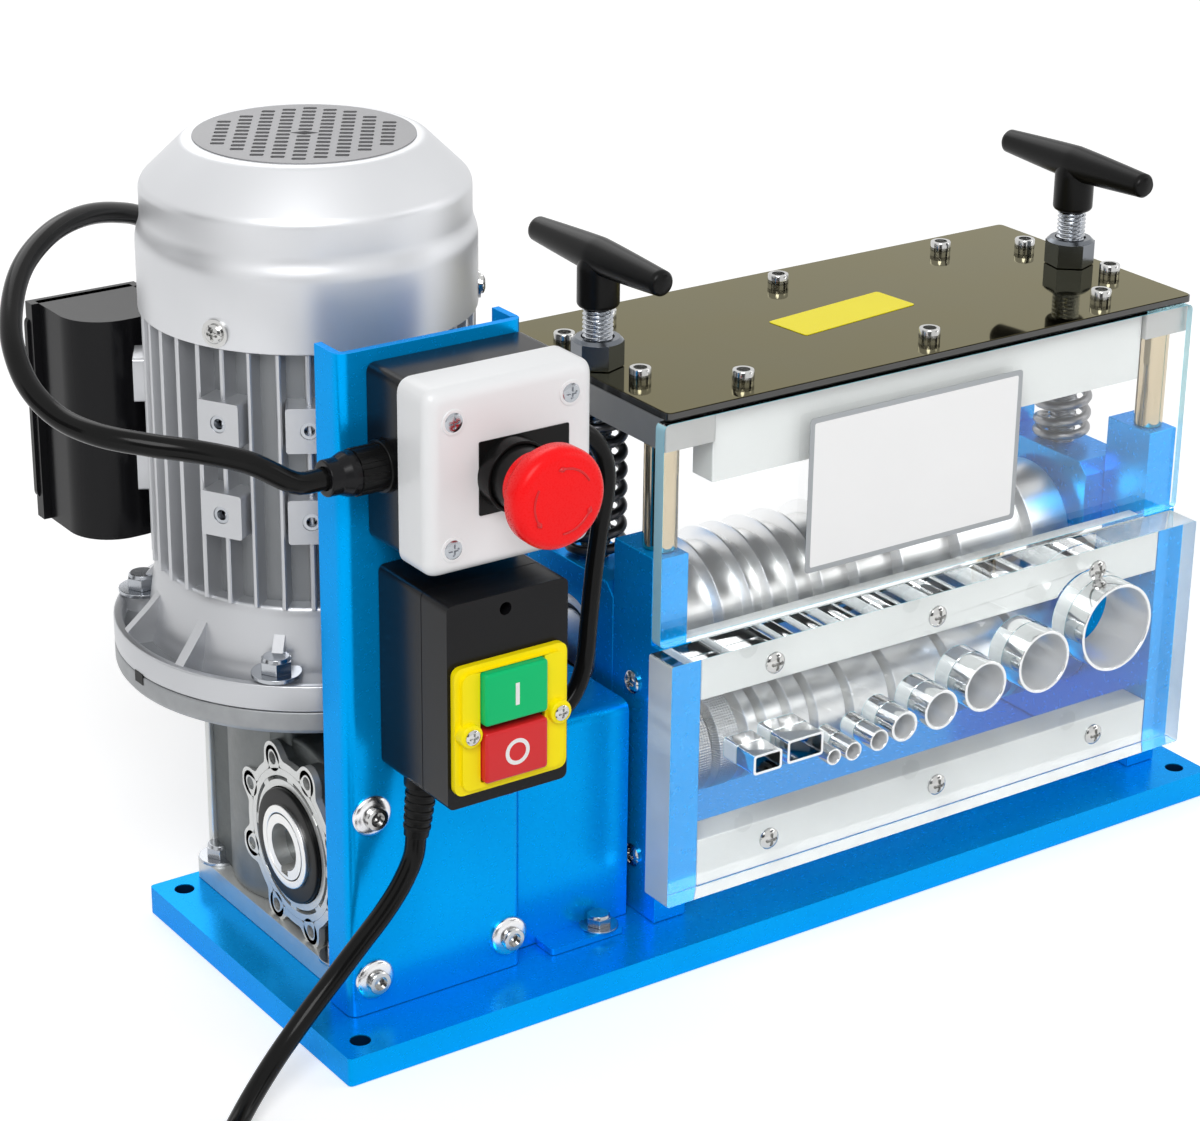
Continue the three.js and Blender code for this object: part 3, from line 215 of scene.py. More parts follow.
def layFloor():
    # a wide disc: p(r, a) = (r cos a, r sin a, just under the base)
    rings, around = np.meshgrid(studio["floorRings"], np.linspace(0, tau, 48, endpoint=False), indexing="ij")
    points = np.stack([rings * np.cos(around), rings * np.sin(around),
        np.full_like(rings, studio["floorLevel"])], -1).reshape(-1, 3)
    faces = [tuple(range(48))]
    for k in range(2):
        faces += [(k * 48 + j, (k + 1) * 48 + j, (k + 1) * 48 + (j + 1) % 48, k * 48 + (j + 1) % 48)
            for j in range(48)]
    mesh = bpy.data.meshes.new("floor")
    mesh.from_pydata(points.tolist(), [], faces)
    floor = bpy.data.objects.new("floor", mesh)
    bpy.context.scene.collection.objects.link(floor)
    paint = Paint("floorPaint")
    grain = paint.noise(30)
    base = paint.add("BsdfDiffuse",
        inputs={"Color": paint.mix(grain, studio["floorColor"], (0.81, 0.81, 0.81))})
    rays = [paint.add("LightPath", output=name)
        for name in ("Is Camera Ray", "Is Glossy Ray", "Is Transmission Ray")]
    seen = rays[0].math("MAXIMUM", rays[1].math("MAXIMUM", rays[2]))
    away = paint.add("VectorMath", {"operation": "LENGTH"}, {0: paint.place()}, output="Value")
    # 0 near the machine, 1 where the lamps no longer reach
    far = ((away - studio["farFrom"]) * studio["farRise"]).math("MINIMUM", 1).math("MAXIMUM", 0)
    glow = paint.add("Emission",
        inputs={"Color": (1, 1, 1), "Strength": seen * (far * studio["farGlow"] + studio["floorGlow"])})
    paint.add2Output(paint.add("AddShader", inputs={0: base, 1: glow}))
    mesh.materials.append(paint.material)


def hangCards():
    # dark studio cards: flat squares facing the object, there only for what metal and gloss reflect
    paint = Paint("cardPaint")
    grain = paint.noise(12)
    paint.add2Output(paint.add("BsdfDiffuse",
        inputs={"Color": paint.mix(grain, studio["cardColor"], (0.07, 0.07, 0.075))}))
    for k, (spot, wide, tall) in enumerate(studio["cards"]):
        corners = [Vector((x * wide / 2, y * tall / 2, 0)) for x, y in ((-1, -1), (1, -1), (1, 1), (-1, 1))]
        aim = (Vector((0, 0, 0.15)) - Vector(spot)).to_track_quat("Z", "Y")
        stand = Matrix.Translation(spot) @ aim.to_matrix().to_4x4()
        mesh = bpy.data.meshes.new(f"card{k + 1}")
        mesh.from_pydata([tuple(stand @ c) for c in corners], [], [(0, 1, 2, 3)])
        card = bpy.data.objects.new(f"card{k + 1}", mesh)
        bpy.context.scene.collection.objects.link(card)
        card.visible_camera = card.visible_diffuse = card.visible_shadow = card.visible_transmission = False
        mesh.materials.append(paint.material)


aimCamera()
setLight()
layFloor()
hangCards()
print("studio ready")


# shapes as arrays: each returns its points in millimetres and its faces

def surface(points, closeAcross=True, closeAlong=False):
    # grid of points p(i, j) joined into quads, j running round the section
    rows, columns = points.shape[:2]
    i = np.arange(rows if closeAlong else rows - 1)[:, None]
    j = np.arange(columns if closeAcross else columns - 1)[None, :]
    a, b = i * columns + j, i * columns + (j + 1) % columns
    c, d = ((i + 1) % rows) * columns + (j + 1) % columns, ((i + 1) % rows) * columns + j
    quads = np.stack(np.broadcast_arrays(a, b, c, d), -1).reshape(-1, 4)
    return points.reshape(-1, 3), [tuple(q) for q in quads.tolist()]


def closed(grid):
    # tube of rows with a flat face over the first row and over the last
    points, faces = surface(grid)
    rows, sides = grid.shape[:2]
    return points, faces + [tuple(range(sides)), tuple(range((rows - 1) * sides, rows * sides))]


def toAxis(u, v, w, axis):
    # (u, v) across and w along the named axis, in the order x: (w, u, v), y: (u, w, v), z: (u, v, w)
    order = {"x": (w, u, v), "y": (u, w, v), "z": (u, v, w)}[axis]
    return np.stack(np.broadcast_arrays(*order), -1).astype(float)


def roundOff(profile, radius, steps=4, loop=False):
    # each corner becomes a short curve: q(t) = (1-t)^2 a + 2t(1-t) corner + t^2 b
    points = np.array(profile, float)
    count = len(points)
    made = []
    for k in range(count):
        if not loop and k in (0, count - 1):
            made.append(points[k])
            continue
        before, corner, after = points[k - 1], points[k], points[(k + 1) % count]
        reach = [np.linalg.norm(before - corner), np.linalg.norm(after - corner)]
        cut = min(radius, 0.45 * min(reach))
        a = corner + (before - corner) * cut / max(reach[0], 1e-9)
        b = corner + (after - corner) * cut / max(reach[1], 1e-9)
        t = np.linspace(0, 1, steps + 1)[:, None]
        made.extend((1 - t) ** 2 * a + 2 * t * (1 - t) * corner + t ** 2 * b)
    return np.array(made)


def turned(profile, axis, at, sides=72, ring=False, soft=0.0):
    # profile rows (radius, height) carried round the axis: p(k, a) = (r cos a, r sin a, h)
    rows = roundOff(profile, soft, loop=ring) if soft else np.array(profile, float)
    poles = [] if ring else [k for k in (0, len(rows) - 1) if rows[k][0] < 1e-6]
    keep = [k for k in range(len(rows)) if k not in poles]
    angle = np.linspace(0, tau, sides, endpoint=False)[None, :]
    radius, height = rows[keep, 0][:, None], rows[keep, 1][:, None]
    points, faces = surface(toAxis(*onCircle(at, radius, angle), height + 0 * angle, axis), True, ring)
    for k in poles:
        tip = toAxis(np.array([at[0]]), np.array([at[1]]), np.array([rows[k][1]]), axis)
        points = np.vstack([points, tip])
        first = 0 if k == 0 else (len(keep) - 1) * sides
        faces += [(first + j, first + (j + 1) % sides, len(points) - 1) for j in range(sides)]
    if not ring and 0 not in poles:
        faces.append(tuple(range(sides)))
    if not ring and len(rows) - 1 not in poles:
        faces.append(tuple(range((len(keep) - 1) * sides, len(keep) * sides)))
    return points, faces


def band(inner, outer, low, high):
    # profile of a ring, or of a solid rod where the inner radius is nought
    return [(inner, low), (outer, low), (outer, high), (inner, high)]


def rectangle(u0, u1, v0, v1, radius=0.0, steps=6):
    corners = band(u0, u1, v0, v1)
    return roundOff(corners, radius, steps, loop=True) if radius else np.array(corners, float)


def barrel(inner, outer, low, high, axis, at, sides, soft=0.0):
    # turned ring, or solid rod where the inner radius is nought
    return turned(band(inner, outer, low, high), axis, at, sides, ring=inner > 0, soft=soft)


def grown(u0, u1, v0, v1, by, radius=0.0, steps=6):
    # rectangle that stands out by the same measure on all sides, or in where the measure is below nought
    return rectangle(u0 - by, u1 + by, v0 - by, v1 + by, radius, steps)


def onCircle(centre, radius, angle):
    # point or points on a circle about the centre
    return centre[0] + radius * np.cos(angle), centre[1] + radius * np.sin(angle)


def circle(u, v, radius, sides=40):
    return np.stack(onCircle((u, v), radius, np.linspace(0, tau, sides, endpoint=False)), 1)


def hexagon(u, v, flats, turn=0.0):
    return np.stack(onCircle((u, v), flats / math.sqrt(3), np.arange(6) * tau / 6 + turn), 1)


def slab(outline, axis, low, high, holes=()):
    # flat outline with holes, filled and pushed along the axis from low to high
    loops = [np.array(outline, float), *[np.array(h, float) for h in holes]]
    flat = np.vstack(loops)
    count = len(flat)
    fill = geometry.tessellate_polygon([[Vector((u, v, 0)) for u, v in loop] for loop in loops])
    points = np.vstack([toAxis(flat[:, 0], flat[:, 1], np.full(count, w), axis) for w in (low, high)])
    faces = [tuple(f) for f in fill] + [tuple(count + k for k in reversed(f)) for f in fill]
    start = 0
    for loop in loops:
        size = len(loop)
        for j in range(size):
            a, b = start + j, start + (j + 1) % size
            faces.append((a, b, count + b, count + a))
        start += size
    return points, faces


def sheet(low, high, corner=0.0, steps=6, holes=()):
    # upright sheet as wide, deep and tall as a node's box
    return slab(rectangle(low[0], high[0], low[2], high[2], corner, steps), "y", low[1], high[1], holes)


def block(x0, x1, y0, y1, z0, z1):
    return slab(rectangle(x0, x1, y0, y1), "z", z0, z1)


def between(u, a, b, first, last):
    # straight blend that is first at u = a and last at u = b
    return (b - u) / (b - a) * first + (u - a) / (b - a) * last


def smoothPath(points, step):
    # Catmull-Rom curve with centripetal spacing through given points, then even steps along it
    p = np.array(points, float)
    p = np.vstack([2 * p[0] - p[1], p, 2 * p[-1] - p[-2]])
    t = np.concatenate([[0], np.cumsum(np.sqrt(np.linalg.norm(np.diff(p, axis=0), axis=1)))])
    made = [p[1]]
    for k in range(1, len(p) - 2):
        t0, t1, t2, t3 = t[k - 1:k + 3]
        p0, p1, p2, p3 = p[k - 1:k + 3]
        u = np.linspace(t1, t2, 17)[1:, None]
        a1, a2, a3 = between(u, t0, t1, p0, p1), between(u, t1, t2, p1, p2), between(u, t2, t3, p2, p3)
        b1, b2 = between(u, t0, t2, a1, a2), between(u, t1, t3, a2, a3)
        made.extend(between(u, t1, t2, b1, b2))
    made = np.array(made)
    along = np.concatenate([[0], np.cumsum(np.linalg.norm(np.diff(made, axis=0), axis=1))])
    even = np.linspace(0, along[-1], max(int(along[-1] / step), 4))
    return np.stack([np.interp(even, along, made[:, k]) for k in range(3)], 1)


def swept(path, radius, sides=20):
    # a round section carried along a path without twist: p(i, a) = path_i + r_i (n_i cos a + b_i sin a)
    path = np.array(path, float)
    ahead = np.gradient(path, axis=0)
    ahead /= np.linalg.norm(ahead, axis=1)[:, None]
    normal = np.cross(ahead[0], (0, 0, 1.0) if abs(ahead[0][2]) < 0.9 else (1.0, 0, 0))
    normals = []
    for direction in ahead:
        normal = normal - direction * (normal @ direction)
        normal /= np.linalg.norm(normal)
        normals.append(normal)
    normals = np.array(normals)
    cross = np.cross(ahead, normals)
    angle = np.linspace(0, tau, sides, endpoint=False)
    size = np.broadcast_to(np.asarray(radius, float), (len(path),))[:, None, None]
    across, up = np.cos(angle)[None, :, None], np.sin(angle)[None, :, None]
    return closed(path[:, None] + size * (normals[:, None] * across + cross[:, None] * up))


def moved(shape, by=(0, 0, 0), turn=0.0, about="z", centre=(0, 0, 0)):
    # turned by an angle about an axis through the centre, then shifted
    points, faces = shape
    spin = np.array(Matrix.Rotation(turn, 3, about.upper()))
    return (points - centre) @ spin.T + centre + np.array(by, float), faces


def piece(name, parts, body="machine_frame", replaces=(), bevel=0.0, bevelSteps=2, sharp=38,
        bevelFinish=None):
    # joins (shape, material) parts into one object that rides on a CAD body
    mesh = bpy.data.meshes.new(name)
    points, faces, marks, finishes = [], [], [], []
    offset = 0
    for (partPoints, partFaces), finish in parts:
        if finish not in finishes:
            finishes.append(finish)
        points.append(partPoints)
        faces += [tuple(k + offset for k in f) for f in partFaces]
        marks += [finishes.index(finish)] * len(partFaces)
        offset += len(partPoints)
    mesh.from_pydata((np.vstack(points) * mm).tolist(), [], faces)
    mesh.polygons.foreach_set("material_index", marks)
    for finish in finishes:
        mesh.materials.append(finish)
    work = bmesh.new()
    work.from_mesh(mesh)
    bmesh.ops.recalc_face_normals(work, faces=work.faces)
    work.to_mesh(mesh)
    work.free()
    mesh.shade_smooth()
    mesh.set_sharp_from_angle(angle=math.radians(sharp))
    made = bpy.data.objects.new(name, mesh)
    bpy.context.scene.collection.objects.link(made)
    if bevel:
        edge = made.modifiers.new("edge", "BEVEL")
        edge.width, edge.segments, edge.limit_method = bevel * mm, bevelSteps, "ANGLE"
        edge.angle_limit, edge.harden_normals = math.radians(40), True
        if bevelFinish:
            mesh.materials.append(bevelFinish)
            edge.material = len(mesh.materials) - 1
    if body:
        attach(made, body)
    if replaces:
        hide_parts(*replaces)
    return made


# finishes

def gloss(name, color, shade, roughness=0.25, coat=0.0, grain=900, depth=0.02, metallic=0.0, specular=0.5,
        rise=0.00004, sheenTint=(1, 1, 1)):
    # moulded or painted finish: slow colour drift, fine grain in the height and in the roughness
    paint = Paint(name)
    drift = paint.noise(22, 2)
    fine = paint.noise(grain, 4, 0.6)
    tone = paint.mix(drift, color, shade)
    return paint.finish(
        Base_Color=tone, Roughness=roughness + (fine - 0.5) * 0.12, Metallic=metallic, Coat_Weight=coat,
        Coat_Roughness=0.06,
        Specular_IOR_Level=specular, Specular_Tint=sheenTint, Normal=paint.bump(fine, depth, rise))


def machined(name, color, shade, axis="x", pitch=2600, roughness=0.28, depth=0.12):
    # turned metal: fine rings along the axis, with smudges in the roughness
    paint = Paint(name)
    stretch = {"x": (1, 0.02, 0.02), "y": (0.02, 1, 0.02), "z": (0.02, 0.02, 1)}[axis]
    rings = paint.noise(pitch, 2, 0.7, stretch)
    smudge = paint.noise(28, 2)
    return paint.finish(
        Base_Color=paint.mix(smudge, color, shade), Metallic=1.0, Roughness=roughness + (smudge - 0.5) * 0.10,
        Normal=paint.bump(rings, depth, 0.00003))


def castMetal(name, color, shade, roughness=0.48, grain=650, depth=0.35, metallic=0.75):
    # sand-cast skin: pits of two sizes, darker in the hollows
    paint = Paint(name)
    fine, coarse = paint.noise(grain, 5, 0.65), paint.noise(grain * 0.2, 3)
    height = fine * 0.6 + coarse * 0.4
    return paint.finish(
        Base_Color=paint.mix(coarse, shade, color), Metallic=metallic,
        Roughness=roughness + (fine - 0.5) * 0.2,
        Normal=paint.bump(height, depth, 0.00012))


def knurled(name):
    # crossed teeth on the roller's ridges: the product of two waves round and along the axis
    paint = Paint(name)
    point = paint.place()
    parts = paint.tree.nodes.new("ShaderNodeSeparateXYZ")
    paint.tree.links.new(point.socket, parts.inputs[0])
    x, y, z = (Wire(paint, parts.outputs[k]) for k in range(3))
    teethRound, pitch = 60, 2600
    around = (z - feedAxis[1] * mm).math("ARCTAN2", y - feedAxis[0] * mm) * teethRound
    teeth = (around + x * pitch).math("SINE") * (around - x * pitch).math("SINE")
    smudge = paint.noise(60, 3)
    return paint.finish(
        Base_Color=paint.mix(smudge, (0.82, 0.82, 0.81), (0.62, 0.62, 0.62)), Metallic=1.0,
        Roughness=0.34 + (smudge - 0.5) * 0.2,
        Normal=paint.bump(teeth, 0.5, 0.0004))


def acrylic(name, tint, edge, shade):
    # clear sheet whose sawn ends, the faces across X, are frosted
    paint = Paint(name)
    facing = paint.add("NewGeometry", output="Normal")
    parts = paint.tree.nodes.new("ShaderNodeSeparateXYZ")
    paint.tree.links.new(facing.socket, parts.inputs[0])
    side = Wire(paint, parts.outputs[0]).math("ABSOLUTE") > 0.6
    haze = paint.noise(35, 3)
    clear = paint.add("BsdfPrincipled", inputs={
        "Base Color": tint, "Roughness": 0.02, "IOR": 1.49, "Transmission Weight": 1.0}, output="BSDF")
    cut = paint.add("BsdfPrincipled", inputs={
        "Base Color": paint.mix(haze, edge, shade), "Roughness": 0.25, "IOR": 1.49,
        "Transmission Weight": 0.18}, output="BSDF")
    sheet = paint.add("MixShader", inputs={0: side, 1: clear, 2: cut})
    through = paint.add("BsdfTransparent", inputs={"Color": (0.95, 0.97, 0.97)})
    shadow = paint.add("LightPath", output="Is Shadow Ray")
    paint.add2Output(paint.add("MixShader", inputs={0: shadow, 1: sheet, 2: through}))
    return paint.material


def sheath(name, color, shade):
    # extruded cable jacket: faint drawn lines and a soft sheen
    paint = Paint(name)
    fine, slow = paint.noise(1400, 3), paint.noise(40, 2)
    return paint.finish(
        Base_Color=paint.mix(slow, color, shade), Roughness=0.15 + (fine - 0.5) * 0.10,
        Specular_IOR_Level=0.12,
        Normal=paint.bump(fine, 0.15, 0.00006))


blue = gloss("bluePaint", (0.000, 0.400, 0.940), (0.000, 0.340, 0.850), 0.26, grain=420, depth=0.05,
    metallic=0.55, specular=0.10, rise=0.00008, sheenTint=(0.02, 0.45, 0.95))
boreBlue = gloss("boreShade", (0.000, 0.012, 0.045), (0.000, 0.020, 0.065), 0.5, grain=420, specular=0.1)
blackGloss = gloss("blackGlossPlate", (0.020, 0.020, 0.018), (0.028, 0.027, 0.024), 0.07, coat=0.6,
    grain=120, depth=0.02)
oliveGloss = gloss("oliveGloss", (0.098, 0.080, 0.030), (0.092, 0.084, 0.052), 0.04, grain=60, depth=0.01,
    metallic=1.0, sheenTint=(1, 0.98, 0.85))
silver = gloss("silverPaint", (0.58, 0.59, 0.61), (0.50, 0.51, 0.53), 0.36, grain=1100, depth=0.25,
    metallic=0.75, rise=0.00010)
# painted shade: silverShade is a darker copy of the silver paint, for the flange's pockets and the gaps
# between the fins
silverShade = gloss("silverShade", (0.26, 0.27, 0.28), (0.20, 0.21, 0.22), 0.45, grain=1100, depth=0.30,
    metallic=0.6, rise=0.00010)
coverSilver = gloss("coverSilver", (0.74, 0.75, 0.77), (0.67, 0.68, 0.70), 0.42, grain=1300, depth=0.22,
    metallic=0.75, rise=0.00008)
grilleGrey = gloss("grilleGrey", (0.30, 0.30, 0.31), (0.26, 0.26, 0.27), 0.42, grain=1300, depth=0.20,
    metallic=0.5, rise=0.00008)
castGrey = castMetal("castGrey", (0.40, 0.41, 0.42), (0.28, 0.29, 0.30))
# painted shade and light: castDark and castShade are darker copies of the cast finish for the gearbox's faces
# in shade, castBright a lighter copy for its lit rims, ribs, foot and left edge
castDark = castMetal("castDark", (0.13, 0.14, 0.14), (0.08, 0.09, 0.09), 0.50)
castShade = castMetal("castShade", (0.24, 0.25, 0.25), (0.16, 0.17, 0.17), 0.50)
castBright = castMetal("castBright", (0.74, 0.75, 0.74), (0.60, 0.61, 0.60), 0.36, 500, 0.20, 0.70)
milledGrey = castMetal("milledGrey", (0.55, 0.55, 0.54), (0.45, 0.45, 0.44), 0.40, 300, 0.12, 0.85)
steelX = machined("turnedSteel", (0.92, 0.92, 0.91), (0.80, 0.80, 0.79), roughness=0.35)
bladeSteel = machined("bladeSteel", (0.97, 0.97, 0.97), (0.88, 0.88, 0.88), roughness=0.32)
knurlSteel = knurled("knurledSteel")
polished = machined("polishedTube", (0.86, 0.87, 0.87), (0.80, 0.81, 0.82), "y", 900, 0.08, 0.01)
tubeInside = gloss("tubeInside", (0.90, 0.91, 0.91), (0.80, 0.81, 0.82), 0.34, grain=300, depth=0.05,
    metallic=0.45)
nutDark = machined("darkNut", (0.20, 0.22, 0.24), (0.13, 0.14, 0.16), "z", 800, 0.24, 0.06)
brass = machined("turnedBrass", (0.66, 0.56, 0.40), (0.52, 0.43, 0.29), "z", 1500, 0.14, 0.05)
zinc = machined("zincSteel", (0.50, 0.52, 0.55), (0.38, 0.40, 0.43), "z", 800, 0.24, 0.06)
washerWhite = machined("washerSteel", (0.86, 0.86, 0.87), (0.76, 0.76, 0.78), "y", 800, 0.22, 0.04)
nickel = machined("nickelScrew", (0.68, 0.68, 0.67), (0.47, 0.47, 0.46), "z", 700, 0.16, 0.05)
springDark = machined("springDark", (0.075, 0.075, 0.080), (0.040, 0.040, 0.045), "z", 500, 0.32, 0.05)
springGrey = machined("springGrey", (0.30, 0.30, 0.31), (0.20, 0.20, 0.21), "z", 500, 0.32, 0.05)
blackPlastic = gloss("blackPlastic", (0.004, 0.004, 0.004), (0.007, 0.007, 0.007), 0.30, grain=1600,
    depth=0.25, specular=0.14)
blackCase = gloss("blackCase", (0.005, 0.005, 0.006), (0.008, 0.008, 0.009), 0.22, grain=1200, depth=0.10,
    specular=0.17)
whitePlastic = gloss("whitePlastic", (0.84, 0.85, 0.86), (0.80, 0.81, 0.82), 0.30, grain=1500, depth=0.10)
whiteRail = gloss("whiteRail", (0.69, 0.70, 0.69), (0.64, 0.65, 0.64), 0.30, coat=0.2, grain=700, depth=0.12)
labelWhite = gloss("labelWhite", (0.95, 0.95, 0.95), (0.92, 0.92, 0.92), 0.38, grain=900, depth=0.03)
labelGrey = gloss("labelBorder", (0.42, 0.44, 0.46), (0.38, 0.40, 0.42), 0.40, grain=900, depth=0.03)
labelYellow = gloss("labelYellow", (0.96, 0.84, 0.008), (0.92, 0.79, 0.008), 0.40, grain=900, depth=0.05,
    specular=0.2)
redPlastic = gloss("redPlastic", (0.70, 0.016, 0.020), (0.62, 0.013, 0.016), 0.30, grain=1500, depth=0.06,
    specular=0.35)
stopRed = gloss("stopRed", (1.00, 0.010, 0.013), (0.92, 0.008, 0.010), 0.28, grain=1500, depth=0.08,
    specular=0.14)
startGreen = gloss("startGreen", (0.003, 0.56, 0.180), (0.003, 0.48, 0.150), 0.30, grain=1500, depth=0.08,
    specular=0.16)
bezelYellow = gloss("bezelYellow", (1.00, 0.84, 0.002), (0.97, 0.79, 0.002), 0.36, grain=1500, depth=0.10,
    specular=0.2)
markWhite = gloss("markWhite", (0.85, 0.85, 0.84), (0.80, 0.80, 0.79), 0.45, grain=900, depth=0.05)
cable = sheath("cableSheath", (0.005, 0.005, 0.005), (0.009, 0.009, 0.009))
clear = acrylic("clearAcrylic", (0.985, 0.998, 1.0), (0.93, 0.95, 0.94), (0.62, 0.68, 0.70))
# painted reflection: the upper sheet's sawn ends are tinted cyan for the blue paint seen in them
clearSheet = acrylic("clearSheet", (0.990, 0.998, 1.0), (0.55, 0.88, 0.96), (0.45, 0.82, 0.94))
# painted reflection: cyanEdge colours the bevelled edges of both guards for the blue paint seen along the
# acrylic's edges
cyanEdge = gloss("cyanEdge", (0.06, 0.60, 0.78), (0.20, 0.72, 0.86), 0.20, coat=0.4, grain=60, depth=0.01)
print("finishes ready")


# fasteners

def capScrew(at, axis, side, head, height, finish):
    # socket cap screw: plain head with a hexagonal socket, standing on the plane w = at[2]
    u, v, w = at
    rim = slab(circle(u, v, head, 36), axis, w, w + side * height * 0.55, [hexagon(u, v, head * 0.95)])
    top = turned([(head * 0.62, height * 0.2), (head, height * 0.2), (head, height * 0.93),
        (head * 0.94, height), (head * 0.62, height)], "z", (0, 0), 36, ring=True)
    shape = toAxisShape(top, axis, (u, v), w, side)
    floor = toAxisShape(barrel(0, head * 0.7, 0.2, height * 0.35, "z", (0, 0), 12), axis, (u, v), w, side)
    return [(rim, finish), (shape, finish), (floor, finish)]


def toAxisShape(shape, axis, at, w, side=1):
    # a shape built about Z is stood on the plane w of another axis
    p, faces = shape
    return toAxis(p[:, 0] + at[0], p[:, 1] + at[1], w + side * p[:, 2], axis), faces


def crossScrew(at, axis, side, head, height, finish, washer=0.0):
    # domed head with a cross recess: the height falls to the recess floor where |x| or |y| is small
    # and r is short
    u, v, w = at
    rings = np.linspace(0.001, 1, 15)[:, None]
    angle = np.linspace(0, tau, 48, endpoint=False)[None, :]
    x, y = head * rings * np.cos(angle), head * rings * np.sin(angle)
    dome = height * np.sqrt(np.clip(1 - 0.86 * rings ** 2, 0, 1)) + 0 * angle
    slotHalf, slotReach = head * 0.13, head * 0.60
    inCross = ((np.abs(x) < slotHalf) | (np.abs(y) < slotHalf)) & (rings * head < slotReach)
    dome = np.where(inCross, dome - height * 0.55, dome)
    top = np.stack([x, y, dome], -1)
    skirt = np.stack([x[-1], y[-1], np.zeros(48)], -1)[None]
    made = [(toAxisShape(closed(np.vstack([top, skirt])), axis, (u, v), w + side * washer, side), finish)]
    if washer:
        disc = barrel(0, head * 1.45, 0, washer, "z", (0, 0), 36)
        made.append((toAxisShape(disc, axis, (u, v), w, side), finish))
    return made


def hexBolt(at, axis, side, flats, height, washer, finish):
    # hexagonal head with a low crown, on a round washer
    u, v, w = at
    disc = barrel(0, flats * 0.86, 0, washer, "z", (0, 0), 36)
    head = slab(hexagon(0, 0, flats), "z", washer, washer + height * 0.85)
    crown = turned([(0, 0), (flats * 0.5, 0), (flats * 0.44, height * 0.3), (0, height * 0.3)],
        "z", (0, 0), 36)
    crown = moved(crown, (0, 0, washer + height * 0.8))
    return [(toAxisShape(s, axis, (u, v), w, side), finish) for s in (disc, head, crown)]


# base plate, side plates and blue sheet metal

baseSize = {"thick": 11.5, "corner": 2.0, "hole": 4.0, "holeFromEnd": 10.4, "holeFromEdge": 10.0, "edge": 0.7,
    "lining": (0.25, 0.2, 0.3, 0.4)}
sideSize = {
    "front": -52.3, "footFront": -57.7, "step": 129.6, "back": 65.0, "top": 165.0, "slotFront": -27.0,
    "slotBack": 34.5,
    "slotBottom": 77.5, "bearing": 16.0, "edge": 0.8, "screws": [(-41, 110), (-43, 36), (50, 110), (50, 36)],
    "screwHead": (4.6, 2.4),
}


def makeBase():
    low, high = node("base_plate")
    outline = rectangle(low[0], high[0], low[1], high[1], baseSize["corner"])
    xs = (low[0] + baseSize["holeFromEnd"], high[0] - baseSize["holeFromEnd"])
    ys = (low[1] + baseSize["holeFromEdge"], high[1] - baseSize["holeFromEdge"])
    holes = [circle(x, y, baseSize["hole"]) for x in xs for y in ys]
    plate = slab(outline, "z", 0, baseSize["thick"], holes)
    piece("basePlate", [(plate, blue)], replaces=["base_plate"], bevel=baseSize["edge"],
        bevelSteps=3)
    # thin dark linings that stand for the shade inside the holes
    inward, outward, low, high = baseSize["lining"]
    r, t = baseSize["hole"], baseSize["thick"]
    lining = band(r - inward, r + outward, low, t - high)
    sleeves = [(turned(lining, "z", (x, y), 32, ring=True), boreBlue) for x in xs for y in ys]
    piece("boreSleeves", sleeves)


def makeSidePlates():
    s = sideSize
    for name, sideName in (("left_side_plate", "left"), ("right_side_plate", "right")):
        low, high = node(name)
        corners = [
            (s["footFront"], low[2]), (s["back"], low[2]), (s["back"], s["top"]), (s["slotBack"], s["top"]),
            (s["slotBack"], s["slotBottom"]), (s["slotFront"], s["slotBottom"]), (s["slotFront"], s["top"]),
            (s["front"], s["top"]), (s["front"], s["step"]), (s["footFront"], s["step"]),
        ]
        plate = slab(corners, "x", low[0], high[0], [circle(*feedAxis, s["bearing"], 64)])
        piece(sideName + "SidePlate", [(plate, blue)], replaces=[name], bevel=s["edge"],
            bevelSteps=3)
        outer, side = (low[0], -1) if sideName == "left" else (high[0], 1)
        screws = []
        for y, z in s["screws"]:
            screws += crossScrew((y, z, outer), "x", side, *s["screwHead"], nickel)
        piece(sideName + "PlateScrews", screws)


panelSize = {"front": -55.0, "thick": 3.0, "bend": 4.5, "boltX": (-190, -131), "boltZ": (26, 94),
    "boltHead": 8.0}
tunnelSize = {"front": -45.0, "thick": 2.5, "bend": 5.0, "tab": (-112, -78), "tabFront": -57.0,
    "bolt": (-86, -50.6), "boltHead": (9, 4.2, 1.0)}


def makePanel():
    low, high = node("front_panel")
    t, front = panelSize["thick"], panelSize["front"]
    outer = roundOff([(low[0], high[1]), (low[0], front), (high[0], front), (high[0], high[1])],
        panelSize["bend"], 6)
    inner = roundOff([(low[0] + t, high[1]), (low[0] + t, front + t), (high[0] - t, front + t),
        (high[0] - t, high[1])], panelSize["bend"] - t, 6)
    channel = slab(np.vstack([outer, inner[::-1]]), "z", low[2], high[2])
    piece("frontPanel", [(channel, blue)], replaces=["front_panel"], bevel=0.5)
    bolts = []
    for x in panelSize["boltX"]:
        for z in panelSize["boltZ"]:
            bolts += domeBolt((x, z, front), "y", -1, panelSize["boltHead"], nickel)
    piece("panelBolts", bolts)


def domeBolt(at, axis, side, head, finish):
    # domed washer with a small cap head standing out of it
    u, v, w = at
    t = np.linspace(0.0, math.pi / 2, 9)
    dome = [(head * 0.5, 0.0), (head, 0.0)] + [(head * (0.5 + 0.5 * math.cos(k)),
        0.5 + 1.9 * math.sin(k)) for k in t]
    washer = turned(dome, "z", (0, 0), 48, ring=True)
    shapes = [(toAxisShape(washer, axis, (u, v), w, side), washerWhite)]
    return shapes + capScrew((u, v, w + side * 1.2), axis, side, head * 0.56, 3.6, finish)


